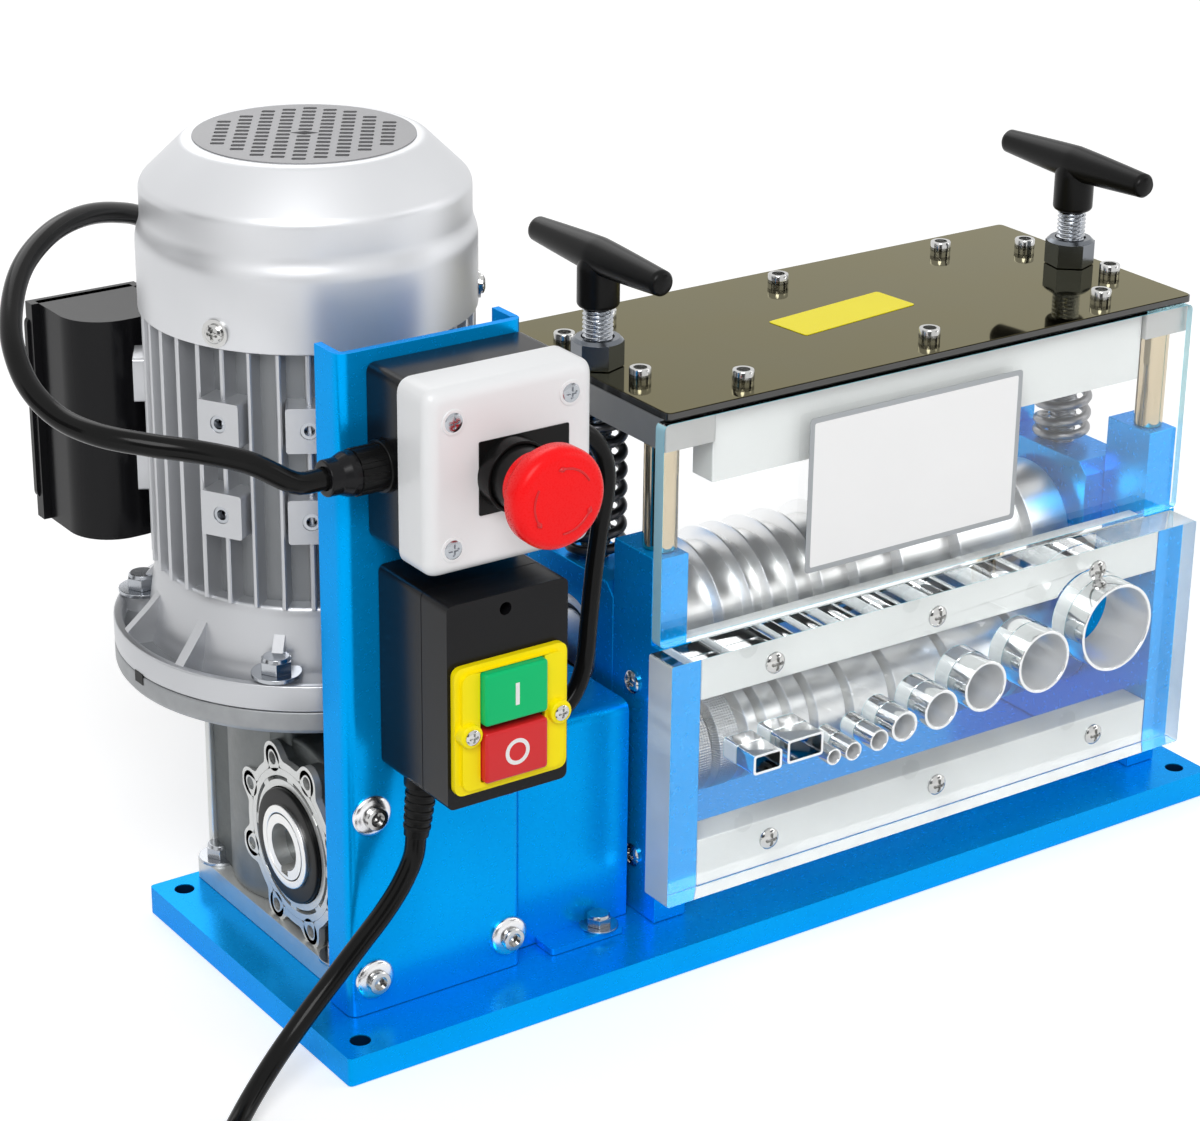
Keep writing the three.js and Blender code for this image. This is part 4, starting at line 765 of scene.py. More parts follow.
def makeTunnel():
    low, high = node("coupling_cover")
    t, front, top = tunnelSize["thick"], tunnelSize["front"], high[2]
    outer = roundOff([(front, low[2]), (front, top), (high[1], top), (high[1], low[2])],
        tunnelSize["bend"], 6)
    inner = roundOff([(front + t, low[2]), (front + t, top - t), (high[1] - t, top - t),
        (high[1] - t, low[2])], tunnelSize["bend"] - t, 6)
    arch = slab(np.vstack([outer, inner[::-1]]), "x", low[0], high[0])
    x0, x1 = tunnelSize["tab"]
    tab = slab(rectangle(x0, x1, tunnelSize["tabFront"], front + 0.5, 2), "z", low[2], low[2] + t)
    piece("couplingCover", [(arch, blue), (tab, blue)],
        replaces=["coupling_cover"], bevel=0.5)
    bolt = hexBolt((*tunnelSize["bolt"], low[2] + t), "z", 1, *tunnelSize["boltHead"], zinc)
    piece("coverBolt", bolt, bevel=0.25)


makeBase()
makeSidePlates()
makePanel()
makeTunnel()
print("blue frame ready")


# top plate, bars, posts, rails and guards

lidSize = {
    "corner": 2.5, "hole": 8.2, "edge": 0.25, "screwHead": 4.3, "screwHeight": 5.0, "plateBelow": 0.3,
    "faceIn": 0.4, "faceDeep": 0.6,
    "screws": [(-49, 31), (-48, -19), (-16.5, -42), (75, -42), (166, -42), (67.5, 46), (154, 45), (187, 28.5),
        (193, -18), (-19, 46)],
    "labelCentre": (66.6, 2.2), "label": (62, 21.6), "labelTurn": 6.6, "labelThick": 0.25,
}
lockSize = {"nut": 18.0, "bottom": 223.6, "top": 235.0, "bore": 6.4, "neck": 7.6, "barTop": 220.0,
    "neckLow": 219.0, "post": 6}


def makeTop():
    low, high = node("top_plate")
    holes = [circle(x, bladeAxis[0], lidSize["hole"], 56) for x in screwX]
    outline = rectangle(low[0], high[0], low[1], high[1], lidSize["corner"])
    plate = slab(outline, "z", low[2], high[2] - lidSize["plateBelow"], holes)
    face = slab(grown(low[0], high[0], low[1], high[1], -lidSize["faceIn"], lidSize["corner"]), "z",
        high[2] - lidSize["faceDeep"], high[2], holes)
    piece("topPlate", [(plate, blackGloss), (face, oliveGloss)], replaces=["top_plate"],
        bevel=lidSize["edge"], bevelSteps=3)
    screws = []
    for x, y in lidSize["screws"]:
        screws += capScrew((x, y, high[2]), "z", 1, lidSize["screwHead"], lidSize["screwHeight"], nickel)
    piece("topScrews", screws)
    (x, y), (wide, deep) = lidSize["labelCentre"], lidSize["label"]
    label = slab(rectangle(x - wide / 2, x + wide / 2, y - deep / 2, y + deep / 2, 1.5), "z", high[2],
        high[2] + lidSize["labelThick"])
    label = moved(label, turn=math.radians(lidSize["labelTurn"]), centre=(x, y, 0))
    piece("topLabel", [(label, labelYellow)])
    for k, sideName in enumerate(("left", "right")):
        low, high = node(sideName + "_top_bar")
        s, at = lockSize, (screwX[k], bladeAxis[0])
        bar = slab(rectangle(low[0], high[0], low[1], high[1], 1.0, 3), "z", low[2], s["barTop"],
            [circle(*at, s["bore"])])
        neck = barrel(s["bore"], s["neck"], s["neckLow"], s["bottom"], "z", at, 48)
        nut = slab(hexagon(*at, s["nut"], 0.35), "z", s["bottom"], s["top"] - 1.2,
            [circle(*at, s["bore"] + 0.1)])
        crown = turned([(s["bore"] + 0.1, s["top"] - 1.4), (s["nut"] * 0.56, s["top"] - 1.4),
            (s["nut"] * 0.48, s["top"]), (s["bore"] + 0.1, s["top"])], "z", at, 48, ring=True)
        parts = [(bar, milledGrey), (neck, nutDark), (nut, nutDark), (crown, nutDark)]
        piece(sideName + "TopBar", parts, replaces=[sideName + "_top_bar"], bevel=0.7)
        for endName in ("front", "rear"):
            name = f"{sideName}_{endName}_post"
            low, high = node(name)
            middle = ((low[0] + high[0]) / 2, (low[1] + high[1]) / 2)
            rod = barrel(0, s["post"], low[2], high[2], "z", middle, 56, 0.6)
            piece(sideName + endName.capitalize() + "Post", [(rod, brass)], replaces=[name])


railSize = {"arch": (148.7, 96.8, 19.3), "blocksX": (-26, 65, 154), "blockHalf": 7,
    "block": (-36.7, -24, 211, 219.6), "blockScrewY": -30.5, "screwHead": (3.6, 2.0)}


def makeRails():
    s = railSize
    for name in ("front_top_rail", "rear_top_rail", "upper_guard_rail", "lower_guard_rail"):
        low, high = node(name)
        if name == "upper_guard_rail":
            x, z, r = s["arch"]
            half = math.sqrt(r * r - (low[2] - z) ** 2)
            a = np.linspace(math.atan2(low[2] - z, half), math.atan2(low[2] - z, -half), 24)
            arch = [(x + r * math.cos(t), z + r * math.sin(t)) for t in a][::-1]
            outline = [(low[0], low[2]), *arch, (high[0], low[2]), (high[0], high[2]), (low[0], high[2])]
            bar = slab(outline, "y", low[1], high[1])
        else:
            bar = sheet(low, high)
        words = name.split("_")
        piece(words[0] + words[1].capitalize() + "Rail", [(bar, whiteRail)],
            replaces=[name], bevel=0.6)
    parts = []
    for x in s["blocksX"]:
        parts.append((block(x - s["blockHalf"], x + s["blockHalf"], *s["block"]), whiteRail))
        parts += crossScrew((x, s["blockScrewY"], s["block"][2]), "z", -1, *s["screwHead"], nickel)
    piece("angleBlocks", parts, bevel=0.4)


guideSize = {
    "rim": -84.0, "back": -58.4,
    "round": [(1.6, 77.5, 3.5, 0.8), (11.3, 77.4, 4.0, 0.8), (24.2, 78.7, 4.6, 0.8), (36.9, 81.3, 6.5, 1.3),
        (55.6, 83.7, 8.5, 1.3), (78.5, 88.1, 10.9, 1.3), (109.4, 91.2, 13.5, 1.3), (148.7, 96.8, 19.0, 1.3)],
    "flat": [(-38.0, -24.3, 80.0, 88.5), (-21.7, -4.2, 80.5, 90.5)], "flatCorner": 1.6, "flatWall": 1.1,
    "lining": (0.12, 0.2), "clearance": 0.15,
}
guardSize = {
    "screwTop": [(-21, 119.5), (60, 119.5), (145.4, 119.5)],
    "screwLow": [(-21, 43.8), (64.5, 43.8), (150, 43.8)],
    "label": (4, 111, 145, 209), "labelBorder": 2.2, "screwHead": (4.4, 2.4),
}


def makeGuards():
    g = guideSize
    gap = g["clearance"]
    low, high = node("lower_guard")
    holes = [circle(x, z, r + gap, 56) for x, z, r, _ in g["round"]]
    holes += [grown(a, b, c, d, gap, g["flatCorner"], 5) for a, b, c, d in g["flat"]]
    body = sheet(low, high, 1.0, 3, holes)
    # painted reflection: the bevel round the guard's edges takes the cyan edge colour
    piece("lowerGuard", [(body, clear)], replaces=["lower_guard"], bevel=0.7,
        bevelFinish=cyanEdge)
    screws = []
    for x, z in guardSize["screwTop"] + guardSize["screwLow"]:
        screws += crossScrew((x, z, low[1]), "y", -1, *guardSize["screwHead"], nickel)
    piece("guardScrews", screws)
    low, high = node("upper_guard")
    # painted reflection: the bevel round the sheet's edges takes the cyan edge colour
    piece("upperGuard", [(sheet(low, high, 3.0), clearSheet)], replaces=["upper_guard"],
        bevel=0.5, bevelFinish=cyanEdge)
    x0, x1, z0, z1 = guardSize["label"]
    b = guardSize["labelBorder"]
    back = slab(rectangle(x0, x1, z0, z1, 2), "y", low[1] - 0.25, low[1])
    field = slab(grown(x0, x1, z0, z1, -b, 1), "y", low[1] - 0.32, low[1] - 0.2)
    piece("guardLabel", [(back, labelGrey), (field, labelWhite)])


def makeGuides():
    g = guideSize
    for k, (x, z, r, wall) in enumerate(g["round"]):
        profile = band(r - wall, r, g["rim"], g["back"])
        tube = turned(profile, "y", (x, z), 80, ring=True, soft=min(0.45, wall * 0.45))
        a, b = g["rim"] + 0.5, g["back"] - 0.1
        inner, outer = r - wall - g["lining"][0], r - wall + g["lining"][1]
        lining = barrel(inner, outer, a, b, "y", (x, z), 80)
        piece(f"roundGuide{k + 1}", [(tube, polished), (lining, tubeInside)],
            replaces=[f"round_guide_{k + 1}"])
    for k, (a, b, c, d) in enumerate(g["flat"]):
        w = g["flatWall"]
        hole = grown(a, b, c, d, -w, g["flatCorner"] - 0.8, 5)
        tube = slab(rectangle(a, b, c, d, g["flatCorner"], 6), "y", g["rim"], g["back"], [hole])
        piece(f"flatGuide{k + 1}", [(tube, polished)],
            replaces=[f"flat_guide_{k + 1}"], bevel=0.25)


makeTop()
makeRails()
makeGuards()
makeGuides()
print("top, rails and guards ready")


# rollers, blades, blocks, screws, handles and springs

stations = [-31.15, -12.95] + [g[0] for g in guideSize["round"]]
rollerSize = {
    "ridge": 22.0, "groove": 16.0, "throat": 2.3, "journal": 15.7, "shaft": 9.0, "shaftStart": -152.0,
    "coupling": (-114.0, -74.0), "couplingRadius": 24.0, "start": -49.1, "end": 187.1, "knurlEnd": -5.0,
    "insert": (21, 1.7), "insertGap": 1.6,
    "centreHole": [(12.5, 202.5), (12.0, 201.3), (9.0, 201.3), (8.6, 202.5), (0, 202.5)],
}
bladeSize = {"rim": 32.5, "rimHalf": 0.45, "footHalf": 1.6, "spacer": 27.0, "endRadius": 20.0,
    "endWidth": 4.0, "bore": 12.3, "soft": 0.5, "shaft": 12}
blockSize = {"bottom": 84.0, "top": 145.0, "chamfer": 5.0, "bearing": 19.0, "race": 14.6, "seal": 12.35,
    "depth": 24.2}
threadSize = {"radius": 6.0, "pitch": 1.75, "depth": 0.95, "tip": 127.3, "top": 250.0,
    "point": (3.5, 5.2, 4.2)}
handleSize = {"hubBottom": 247.0, "hub": 8.3, "bar": 267.0, "half": 42.5, "middle": 7.3, "end": 4.9}
springSize = {"low": 145.65, "high": 207.1, "wire": 2.0, "mean": 10.4, "curls": 8.5, "closed": 4.15}


def makeFeedRoller():
    s = rollerSize
    low, high = s["start"], s["end"]
    edges = [low - 1, *stations, high + 1]
    parts = []
    for k in range(len(edges) - 1):
        a, b = edges[k], edges[k + 1]
        start = low if k == 0 else a + s["throat"]
        end = high if k == len(edges) - 2 else b - s["throat"]
        profile = [(0, max(a, low)), (s["groove"], max(a, low)), (s["ridge"], start), (s["ridge"], end),
            (s["groove"], min(b, high)), (0, min(b, high))]
        parts.append((turned(profile, "x", feedAxis, 96, soft=0.5),
            knurlSteel if a < s["knurlEnd"] else steelX))
    c0, c1 = s["coupling"]
    middle = (c0 + c1) / 2
    for a, b in ((c0, middle - s["insertGap"]), (middle + s["insertGap"], c1)):
        hub = band(0, s["couplingRadius"], a, b)
        parts.append((turned(hub, "x", feedAxis, 72, soft=1.0), steelX))
    radius, half = s["insert"]
    parts.append((barrel(0, radius, middle - half, middle + half, "x", feedAxis, 48), redPlastic))
    parts.append((barrel(0, s["shaft"], s["shaftStart"], c0 + 1, "x", feedAxis, 48, 0.8), steelX))
    parts.append((barrel(0, s["journal"], c1 - 1, low + 1, "x", feedAxis, 72), steelX))
    face = [(0, high - 1), (s["journal"], high - 1), (s["journal"], s["centreHole"][0][1]), *s["centreHole"]]
    parts.append((turned(face, "x", feedAxis, 72, soft=0.3), steelX))
    piece("feedRoller", parts, body="feed_shaft", replaces=["feed_roller"])


def makeBlades():
    s = bladeSize
    low, high = node("blade_stack")
    start, end = low[0], high[0]
    parts = []
    for a, b in ((start, start + s["endWidth"]), (end - s["endWidth"], end)):
        parts.append((barrel(s["bore"], s["endRadius"], a, b, "x", bladeAxis, 72, 0.6), steelX))
    edges = [start + s["endWidth"], *stations, end - s["endWidth"]]
    for k in range(len(edges) - 1):
        a, b = edges[k] + 0.02, edges[k + 1] - 0.02
        parts.append((barrel(s["bore"], s["spacer"], a, b, "x", bladeAxis, 96, s["soft"]), steelX))
    for x in stations:
        f, r = s["footHalf"], s["rimHalf"]
        blade = [(s["spacer"] - 2, x - f), (s["spacer"] + 0.6, x - f), (s["rim"], x - r), (s["rim"], x + r),
            (s["spacer"] + 0.6, x + f), (s["spacer"] - 2, x + f)]
        parts.append((turned(blade, "x", bladeAxis, 120, ring=True, soft=0.15), bladeSteel))
    piece("bladeStack", parts, body="blade_roller", replaces=["blade_stack"])
    low, high = node("blade_shaft")
    shaft = band(0, s["shaft"], low[0], high[0])
    piece("bladeShaft", [(turned(shaft, "x", bladeAxis, 64, soft=1.0), steelX)], body="blade_roller",
        replaces=["blade_shaft"])


def makeBlocks():
    s = blockSize
    for k, sideName in enumerate(("left", "right")):
        name = sideName + "_bearing_block"
        low, high = node(name)
        y0, y1, top, c = low[1], high[1], s["top"], s["chamfer"]
        outline = [(y0, s["bottom"]), (y1, s["bottom"]), (y1, top - c), (y1 - c, top), (y0 + c, top),
            (y0, top - c)]
        x0, x1 = low[0], high[0]
        body = slab(outline, "x", x0, x1, [circle(*bladeAxis, s["bearing"], 64)])
        parts = [(body, blue)]
        outer = x0 if k == 0 else x1
        side = 1 if k == 0 else -1
        for r0, r1, inset, finish in ((s["race"], s["bearing"], 0.8, steelX),
                (s["seal"], s["race"], 1.6, blackPlastic)):
            a, b = sorted((outer + side * inset, outer + side * s["depth"]))
            parts.append((barrel(r0, r1, a, b, "x", bladeAxis, 64, 0.3), finish))
        piece(sideName + "BearingBlock", parts, body="carriage",
            replaces=[name], bevel=0.5)


def threaded(at, low, high, radius, pitch, depth):
    # r(z, a) = R - depth where the phase z / pitch - a / turn lies in the valley of a 60 degree thread
    sides, rowsPerTurn = 28, 7
    rows = int((high - low) / pitch * rowsPerTurn)
    z = np.linspace(low, high, rows)[:, None]
    angle = np.linspace(0, tau, sides, endpoint=False)[None, :]
    wave = np.abs(((z / pitch - angle / tau) % 1) * 2 - 1)
    rise = np.clip(wave * 1.25 - 0.12, 0, 1)
    runOut = np.clip(np.minimum(z - low, high - z) / pitch, 0, 1)
    r = radius - depth * (1 - rise * runOut)
    return closed(toAxis(*onCircle(at, r, angle), z + 0 * angle, "z"))


def makeScrews():
    t, h = threadSize, handleSize
    for k, sideName in enumerate(("left", "right")):
        x, y = screwX[k], bladeAxis[0]
        rod = threaded((x, y), t["tip"] + 4, t["top"], t["radius"], t["pitch"], t["depth"])
        narrow, wide, tall = t["point"]
        tip = turned([(0, t["tip"]), (narrow, t["tip"]), (wide, t["tip"] + tall), (0, t["tip"] + tall)],
            "z", (x, y), 32)
        body = sideName + "_pressure_screw"
        piece(sideName + "Screw", [(rod, zinc), (tip, zinc)], body=body,
            replaces=[sideName + "_screw"], sharp=55)
        hub = [(0, h["hubBottom"]), (h["hub"] - 1.0, h["hubBottom"]), (h["hub"], h["hubBottom"] + 1.2),
            (h["hub"], h["bar"] - 4), (h["hub"] - 2.4, h["bar"] + 3.2), (0, h["bar"] + 5.5)]
        shapes = [(turned(hub, "z", (x, y), 48, soft=1.4), blackPlastic)]
        # grip radius falls from the middle to the rounded tips: r(s) = end + (middle - end)(1 - |s|^1.15)
        s = np.linspace(-1, 1, 61)
        r = h["end"] + (h["middle"] - h["end"]) * (1 - np.abs(s) ** 1.15)
        r = r - 1.1 * ((np.abs(s) - 0.972) / 0.028).clip(0, 1) ** 2
        grip = list(zip([0, *r, 0], [-h["half"], *(s * h["half"]), h["half"]]))
        shapes.append((turned([(a, y + b) for a, b in grip], "y", (x, h["bar"]), 48), blackPlastic))
        piece(sideName + "Handle", shapes, body=body,
            replaces=[sideName + "_handle"], sharp=60)


def makeSprings():
    s = springSize
    for k, (sideName, finish) in enumerate((("left", springDark), ("right", springGrey))):
        turns = np.linspace(0, s["curls"], int(s["curls"] * 40) + 1)
        ease = np.clip(np.minimum(turns - 0.75, s["curls"] - 0.75 - turns) / 0.5, 0, 1)
        ease = ease * ease * (3 - 2 * ease)
        step = turns[1]
        total = s["high"] - s["low"] - 2 * s["wire"]
        flat = s["closed"] * s["curls"]
        open_ = (total - flat) / (ease[:-1].sum() * step)
        rise = np.concatenate([[0], np.cumsum((s["closed"] + open_ * ease[:-1]) * step)])
        rise *= total / rise[-1]
        angle = turns * tau + 0.6
        path = toAxis(*onCircle((screwX[k], bladeAxis[0]), s["mean"], angle),
            s["low"] + s["wire"] + rise, "z")
        spring = piece(sideName + "Spring", [(swept(path, s["wire"], 14), finish)], body=None)
        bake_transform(spring)
        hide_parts(sideName + "_spring")


makeFeedRoller()
makeBlades()
makeBlocks()
makeScrews()
makeSprings()
print("rollers and screws ready")


# motor

motorSize = {
    "flange": 77.6, "flangeBottom": 124.8, "web": 129.6, "flangeTop": 135.0, "rim": 3.4, "cone": 64.0,
    "shield": 60.0, "shieldTop": 159.0,
    "core": 54.0, "fin": 62.0, "fins": 36, "finThick": 2.0, "top": 256.7, "pad": 17.0, "padReach": 66.0,
    "padLow": (186, 221),
    "padAngles": (-150, -120, -60, -30, 30, 150), "bolts": (-132, -42, 48, 138), "boltCircle": 68.6,
    "boltHead": (11, 5.5, 1.6), "boss": (8.6, 8.2, 0.6), "ribs": 12, "ribHalf": 2.1,
    "rib": [(66, 144), (60, 151)], "ribStart": 58, "notch": 181.5, "notchHalf": (1.2, 3),
    "notchZ": (121.2, 125.6), "padHole": 3.3, "padStart": 50, "padIn": 0.6, "padPlug": (4, 5),
    "padRing": (2.0, 3.2, -3.5, -0.4), "boxX": (-182, -131), "boxZ": (172, 236), "boxY": (88, 120),
    "lidY": (120.6, 126),
    "lower": (115.5, 117.5, 124.5), "lowerBevel": 1.5,
}
capSize = {
    "radius": 63.0, "bottom": 257.0, "waist": 285.3, "waistTop": 290.7, "upper": 61.0, "shoulder": 304.6,
    "topRadius": 44.6, "top": 321.0,
    "wall": 1.6, "grille": 40.5, "slot": (5.0, 2.9), "pitch": (7.6, 5.0), "reach": 37.5, "turn": -33.0,
    "screws": (-151, -31, 89), "screwZ": 263, "screwHead": (3.6, 2.0), "washer": 0.9, "liningLow": 270,
    "keepOut": (7, 4),
    "diamond": [(-5.5, 0), (0, -2.6), (5.5, 0), (0, 2.6)],
    "fanHub": (8.3, 14, 262, 284), "fanDisc": [(8.3, 262), (52, 262), (52, 264), (8.3, 265)], "blades": 7,
    "blade": [(9, 262.5), (51.5, 262.5), (51.5, 280), (46, 284), (12, 284)], "bladeHalf": 1.1,
    "rotor": [(0, 34), (10.6, 34), (10.6, 82), (8, 84), (8, 176), (30, 176), (30, 238), (8, 238),
        (8, 287), (0, 287)],
}


def onMotor(shape, turn):
    # a shape built about Z is carried to the motor's axis and turned round it
    return moved(moved(shape, (*motorAxis, 0)), turn=turn, centre=(*motorAxis, 0))


def besideMotor(along, across, angle):
    # point (along, across) in a frame turned by the angle round the motor's axis
    c, n = math.cos(angle), math.sin(angle)
    return motorAxis[0] + along * c - across * n, motorAxis[1] + along * n + across * c


def turnFlat(angle):
    # matrix that turns flat points, given as rows, by the angle
    c, n = math.cos(angle), math.sin(angle)
    return np.array([[c, n], [-n, c]])


def polar(radius, degrees):
    # point about the motor's axis
    return onCircle(motorAxis, radius, np.radians(degrees))


def makeMotor():
    s = motorSize
    parts = []
    plate = [(0, s["flangeBottom"]), (s["flange"], s["flangeBottom"]), (s["flange"], s["flangeTop"]),
        (s["flange"] - s["rim"], s["flangeTop"]), (s["flange"] - s["rim"] - 0.6, s["web"]),
        (s["cone"] - 1, s["web"]), (0, s["web"])]
    parts.append((turned(plate, "z", motorAxis, 120, soft=0.8), silver))
    cone = [(0, s["web"] - 1), (s["cone"] + 2.2, s["web"] - 1), (s["cone"], s["flangeTop"]),
        (s["shield"] + 1, s["shieldTop"] - 3), (s["shield"], s["shieldTop"]), (0, s["shieldTop"])]
    parts.append((turned(cone, "z", motorAxis, 120, soft=1.6), silver))
    # painted shade: a darker ring laid on the web between the ribs darkens the flange's pockets
    pocket = barrel(s["cone"] - 1, s["flange"] - s["rim"], s["web"] - 1, s["web"] + 0.3, "z", motorAxis, 96)
    parts.append((pocket, silverShade))
    for k in range(s["ribs"]):
        angle = (k + 0.5) * 360 / s["ribs"] + 3
        rib = slab([(s["ribStart"], s["web"] - 1), (s["flange"] - 2, s["web"] - 1),
            (s["flange"] - 2, s["flangeTop"] - 0.4), *s["rib"]], "y", -s["ribHalf"], s["ribHalf"])
        parts.append((onMotor(rib, math.radians(angle)), silver))
    wide, narrow, above = s["boss"]
    bossTop = s["flangeTop"] + above
    for angle in s["bolts"]:
        boss = turned([(0, s["web"] - 1), (wide, s["web"] - 1), (narrow, bossTop), (0, bossTop)], "z",
            polar(s["boltCircle"], angle), 32, soft=0.6)
        parts.append((boss, silver))
    # core and fins as one outline: r(a) = core radius, or fin radius within a fin's thickness
    outline = []
    half = s["finThick"] / 2
    for k in range(s["fins"]):
        a = math.radians(k * 360 / s["fins"])
        for r, w in ((s["core"], -half - 0.5), (s["fin"] - 0.5, -half), (s["fin"], -half + 0.5),
                (s["fin"], half - 0.5), (s["fin"] - 0.5, half), (s["core"], half + 0.5)):
            outline.append(besideMotor(r, w, a))
    parts.append((slab(outline, "z", s["shieldTop"] - 0.5, s["top"]), silver))
    # painted shade: a darker core standing half a millimetre proud between the fins darkens the gaps
    parts.append((barrel(0, s["core"] + 0.5, s["shieldTop"], s["top"] - 0.5, "z", motorAxis, 96),
        silverShade))
    screws = []
    reach, (radius, inset) = s["padReach"] - s["padIn"], s["padPlug"]
    for angle in s["padAngles"]:
        for low in s["padLow"]:
            middle = low + s["pad"] / 2
            h = s["pad"] / 2
            pad = slab(rectangle(-h, h, low, low + s["pad"], 1.2, 3), "y", s["padStart"], reach,
                [circle(0, middle, s["padHole"], 24)])
            back = slab(circle(0, middle, radius), "y", s["padStart"], s["padReach"] - inset)
            spin = math.radians(angle - 90)
            for shape, finish in ((pad, silver), (back, zinc)):
                parts.append((onMotor(shape, spin), finish))
            ring = toAxisShape(barrel(*s["padRing"], "z", (0, 0), 24), "y", (0, middle), reach)
            screws.append((onMotor(ring, spin), zinc))
    # painted shade: a small black block on the flange's rim stands for the dark inside of a drain notch
    x, y = polar(s["flange"] - 1.0, s["notch"])
    (wide, deep), notchZ = s["notchHalf"], s["notchZ"]
    notch = slab(rectangle(-wide, wide, -deep, deep), "z", *notchZ)
    parts.append((moved(moved(notch, (x, y, 0)), turn=math.radians(s["notch"]), centre=(x, y, 0)),
        blackPlastic))
    # terminal box behind the motor, its lid one millimetre wider all round, and a core that joins the two
    (x0, x1), (z0, z1), (y0, y1) = s["boxX"], s["boxZ"], s["boxY"]
    box = slab(rectangle(x0, x1, z0, z1, 4, 6), "y", y0, y1)
    lid = slab(grown(x0, x1, z0, z1, 1, 4.5, 6), "y", *s["lidY"])
    parts += [(box, silver), (lid, silver), (block(x0 + 4, x1 - 4, y0 + 2, y1 + 1, z0 + 4, z1 - 4), silver)]
    piece("motorBody", parts, replaces=["motor_body"], bevel=0.35)
    piece("padScrews", screws)
    bolts = []
    for angle in s["bolts"]:
        bolts += hexBolt((*polar(s["boltCircle"], angle), bossTop), "z", 1, *s["boltHead"], zinc)
    piece("flangeBolts", bolts, bevel=0.3)
    bottom, edge, top = s["lower"]
    rim = [(0, bottom), (s["flange"] - s["lowerBevel"], bottom), (s["flange"], edge),
        (s["flange"], top), (0, top)]
    piece("gearboxFlange", [(turned(rim, "z", motorAxis, 120, soft=0.7), castGrey)],
        replaces=["gearbox_flange"])


def makeFanCover():
    s = capSize
    w = s["wall"]
    profile = [
        (s["radius"] - w, s["bottom"]), (s["radius"], s["bottom"]), (s["radius"], s["waist"]),
        (s["upper"], s["waistTop"]), (s["upper"], s["shoulder"]),
        (s["topRadius"], s["top"] - 0.4), (s["grille"], s["top"] - 0.4), (s["grille"], s["top"] - w),
        (s["topRadius"] - 1, s["top"] - w - 0.6),
        (s["upper"] - w, s["shoulder"] - 0.5), (s["upper"] - w, s["waistTop"]), (s["radius"] - w, s["waist"]),
    ]
    shell = turned(profile, "z", motorAxis, 128, ring=True, soft=2.4)
    slots = []
    (w0, h0), (pu, pv), (near, tight) = s["slot"], s["pitch"], s["keepOut"]
    for i in range(-5, 6):
        for j in range(-8, 9):
            u, v = i * pu, (j + 0.5 * (i % 2)) * pv
            if math.hypot(abs(u) + w0 / 2,
                    abs(v) + h0 / 2) > s["reach"] or (abs(u) < near and abs(v) < tight):
                continue
            slots.append(rectangle(u - w0 / 2, u + w0 / 2, v - h0 / 2, v + h0 / 2, 0.5, 1))
    slots.append(np.array(s["diamond"]))
    spin = turnFlat(math.radians(s["turn"]))
    slots = [loop @ spin + motorAxis for loop in slots]
    disc = slab(circle(*motorAxis, s["grille"] + 0.3, 128), "z", s["top"] - w, s["top"], slots)
    # painted shade: a black ring just inside the cover's wall darkens the inside seen through the grille
    lining = turned([(s["upper"] - w - 0.5, s["liningLow"]), (s["upper"] - w - 0.5, s["shoulder"] - 1),
        (s["topRadius"] - 2, s["top"] - w - 1.5), (s["topRadius"] - 4, s["top"] - w - 3),
        (s["upper"] - w - 2.5, s["shoulder"] - 2), (s["upper"] - w - 2.5, s["liningLow"])], "z", motorAxis,
        96, ring=True)
    parts = [(shell, coverSilver), (disc, grilleGrey), (lining, blackPlastic)]
    piece("fanCover", parts, replaces=["fan_cover"], sharp=30)
    screws = []
    for angle in s["screws"]:
        screw = crossScrew((0, 0, 0), "z", 1, *s["screwHead"], nickel, s["washer"])
        a = math.radians(angle)
        for shape, finish in screw:
            p, faces = shape
            r, t, z = s["radius"] - 0.1 + p[:, 2], p[:, 0], s["screwZ"] + p[:, 1]
            placed = toAxis(*besideMotor(r, t, a), z, "z")
            screws.append(((placed, faces), finish))
    piece("fanCoverScrews", screws)
    blades = [(barrel(*s["fanHub"], "z", motorAxis, 40, 0.6), blackPlastic),
        (turned(s["fanDisc"], "z", motorAxis, 64, ring=True, soft=0.4), blackPlastic)]
    for k in range(s["blades"]):
        blade = slab(s["blade"], "y", -s["bladeHalf"], s["bladeHalf"])
        blades.append((onMotor(blade, k * tau / s["blades"]), blackPlastic))
    piece("coolingFan", blades, body="motor_shaft", replaces=["cooling_fan"], bevel=0.3)
    piece("motorRotor", [(turned(s["rotor"], "z", motorAxis, 48, soft=0.5), steelX)], body="motor_shaft",
        replaces=["motor_rotor"])


capacitorSize = {"x": (-228, -188), "front": 88, "z": (158, 246), "corner": 18, "face": 126.3, "plate": 2.6,
    "bracket": (-232, -145, 166, 240)}


def makeCapacitor():
    s = capacitorSize
    (left, right), (bottom, top), front, corner = s["x"], s["z"], s["front"], s["corner"]
    face, thick = s["face"], s["plate"]
    round_ = [(left + corner - corner * math.cos(t), front + corner - corner * math.sin(t))
        for t in np.linspace(0, math.pi / 2, 14)]
    other = [(right - corner + corner * math.sin(t), front + corner - corner * math.cos(t))
        for t in np.linspace(0, math.pi / 2, 14)]
    outline = [(left, face + 0.5), *round_, *other, (right, face + 0.5)]
    shell = slab(outline, "z", bottom, top)
    lip = slab(rectangle(left - 3, right + 3, face - 3, face + thick), "z", bottom, top)
    bracket = slab(rectangle(*s["bracket"], 3, 5), "y", face, face + thick)
    piece("capacitorCase", [(shell, blackCase), (lip, blackCase), (bracket, blackCase)],
        replaces=["capacitor_case"], bevel=1.4, bevelSteps=3)


makeMotor()
makeFanCover()
makeCapacitor()
print("motor ready")


# gearbox

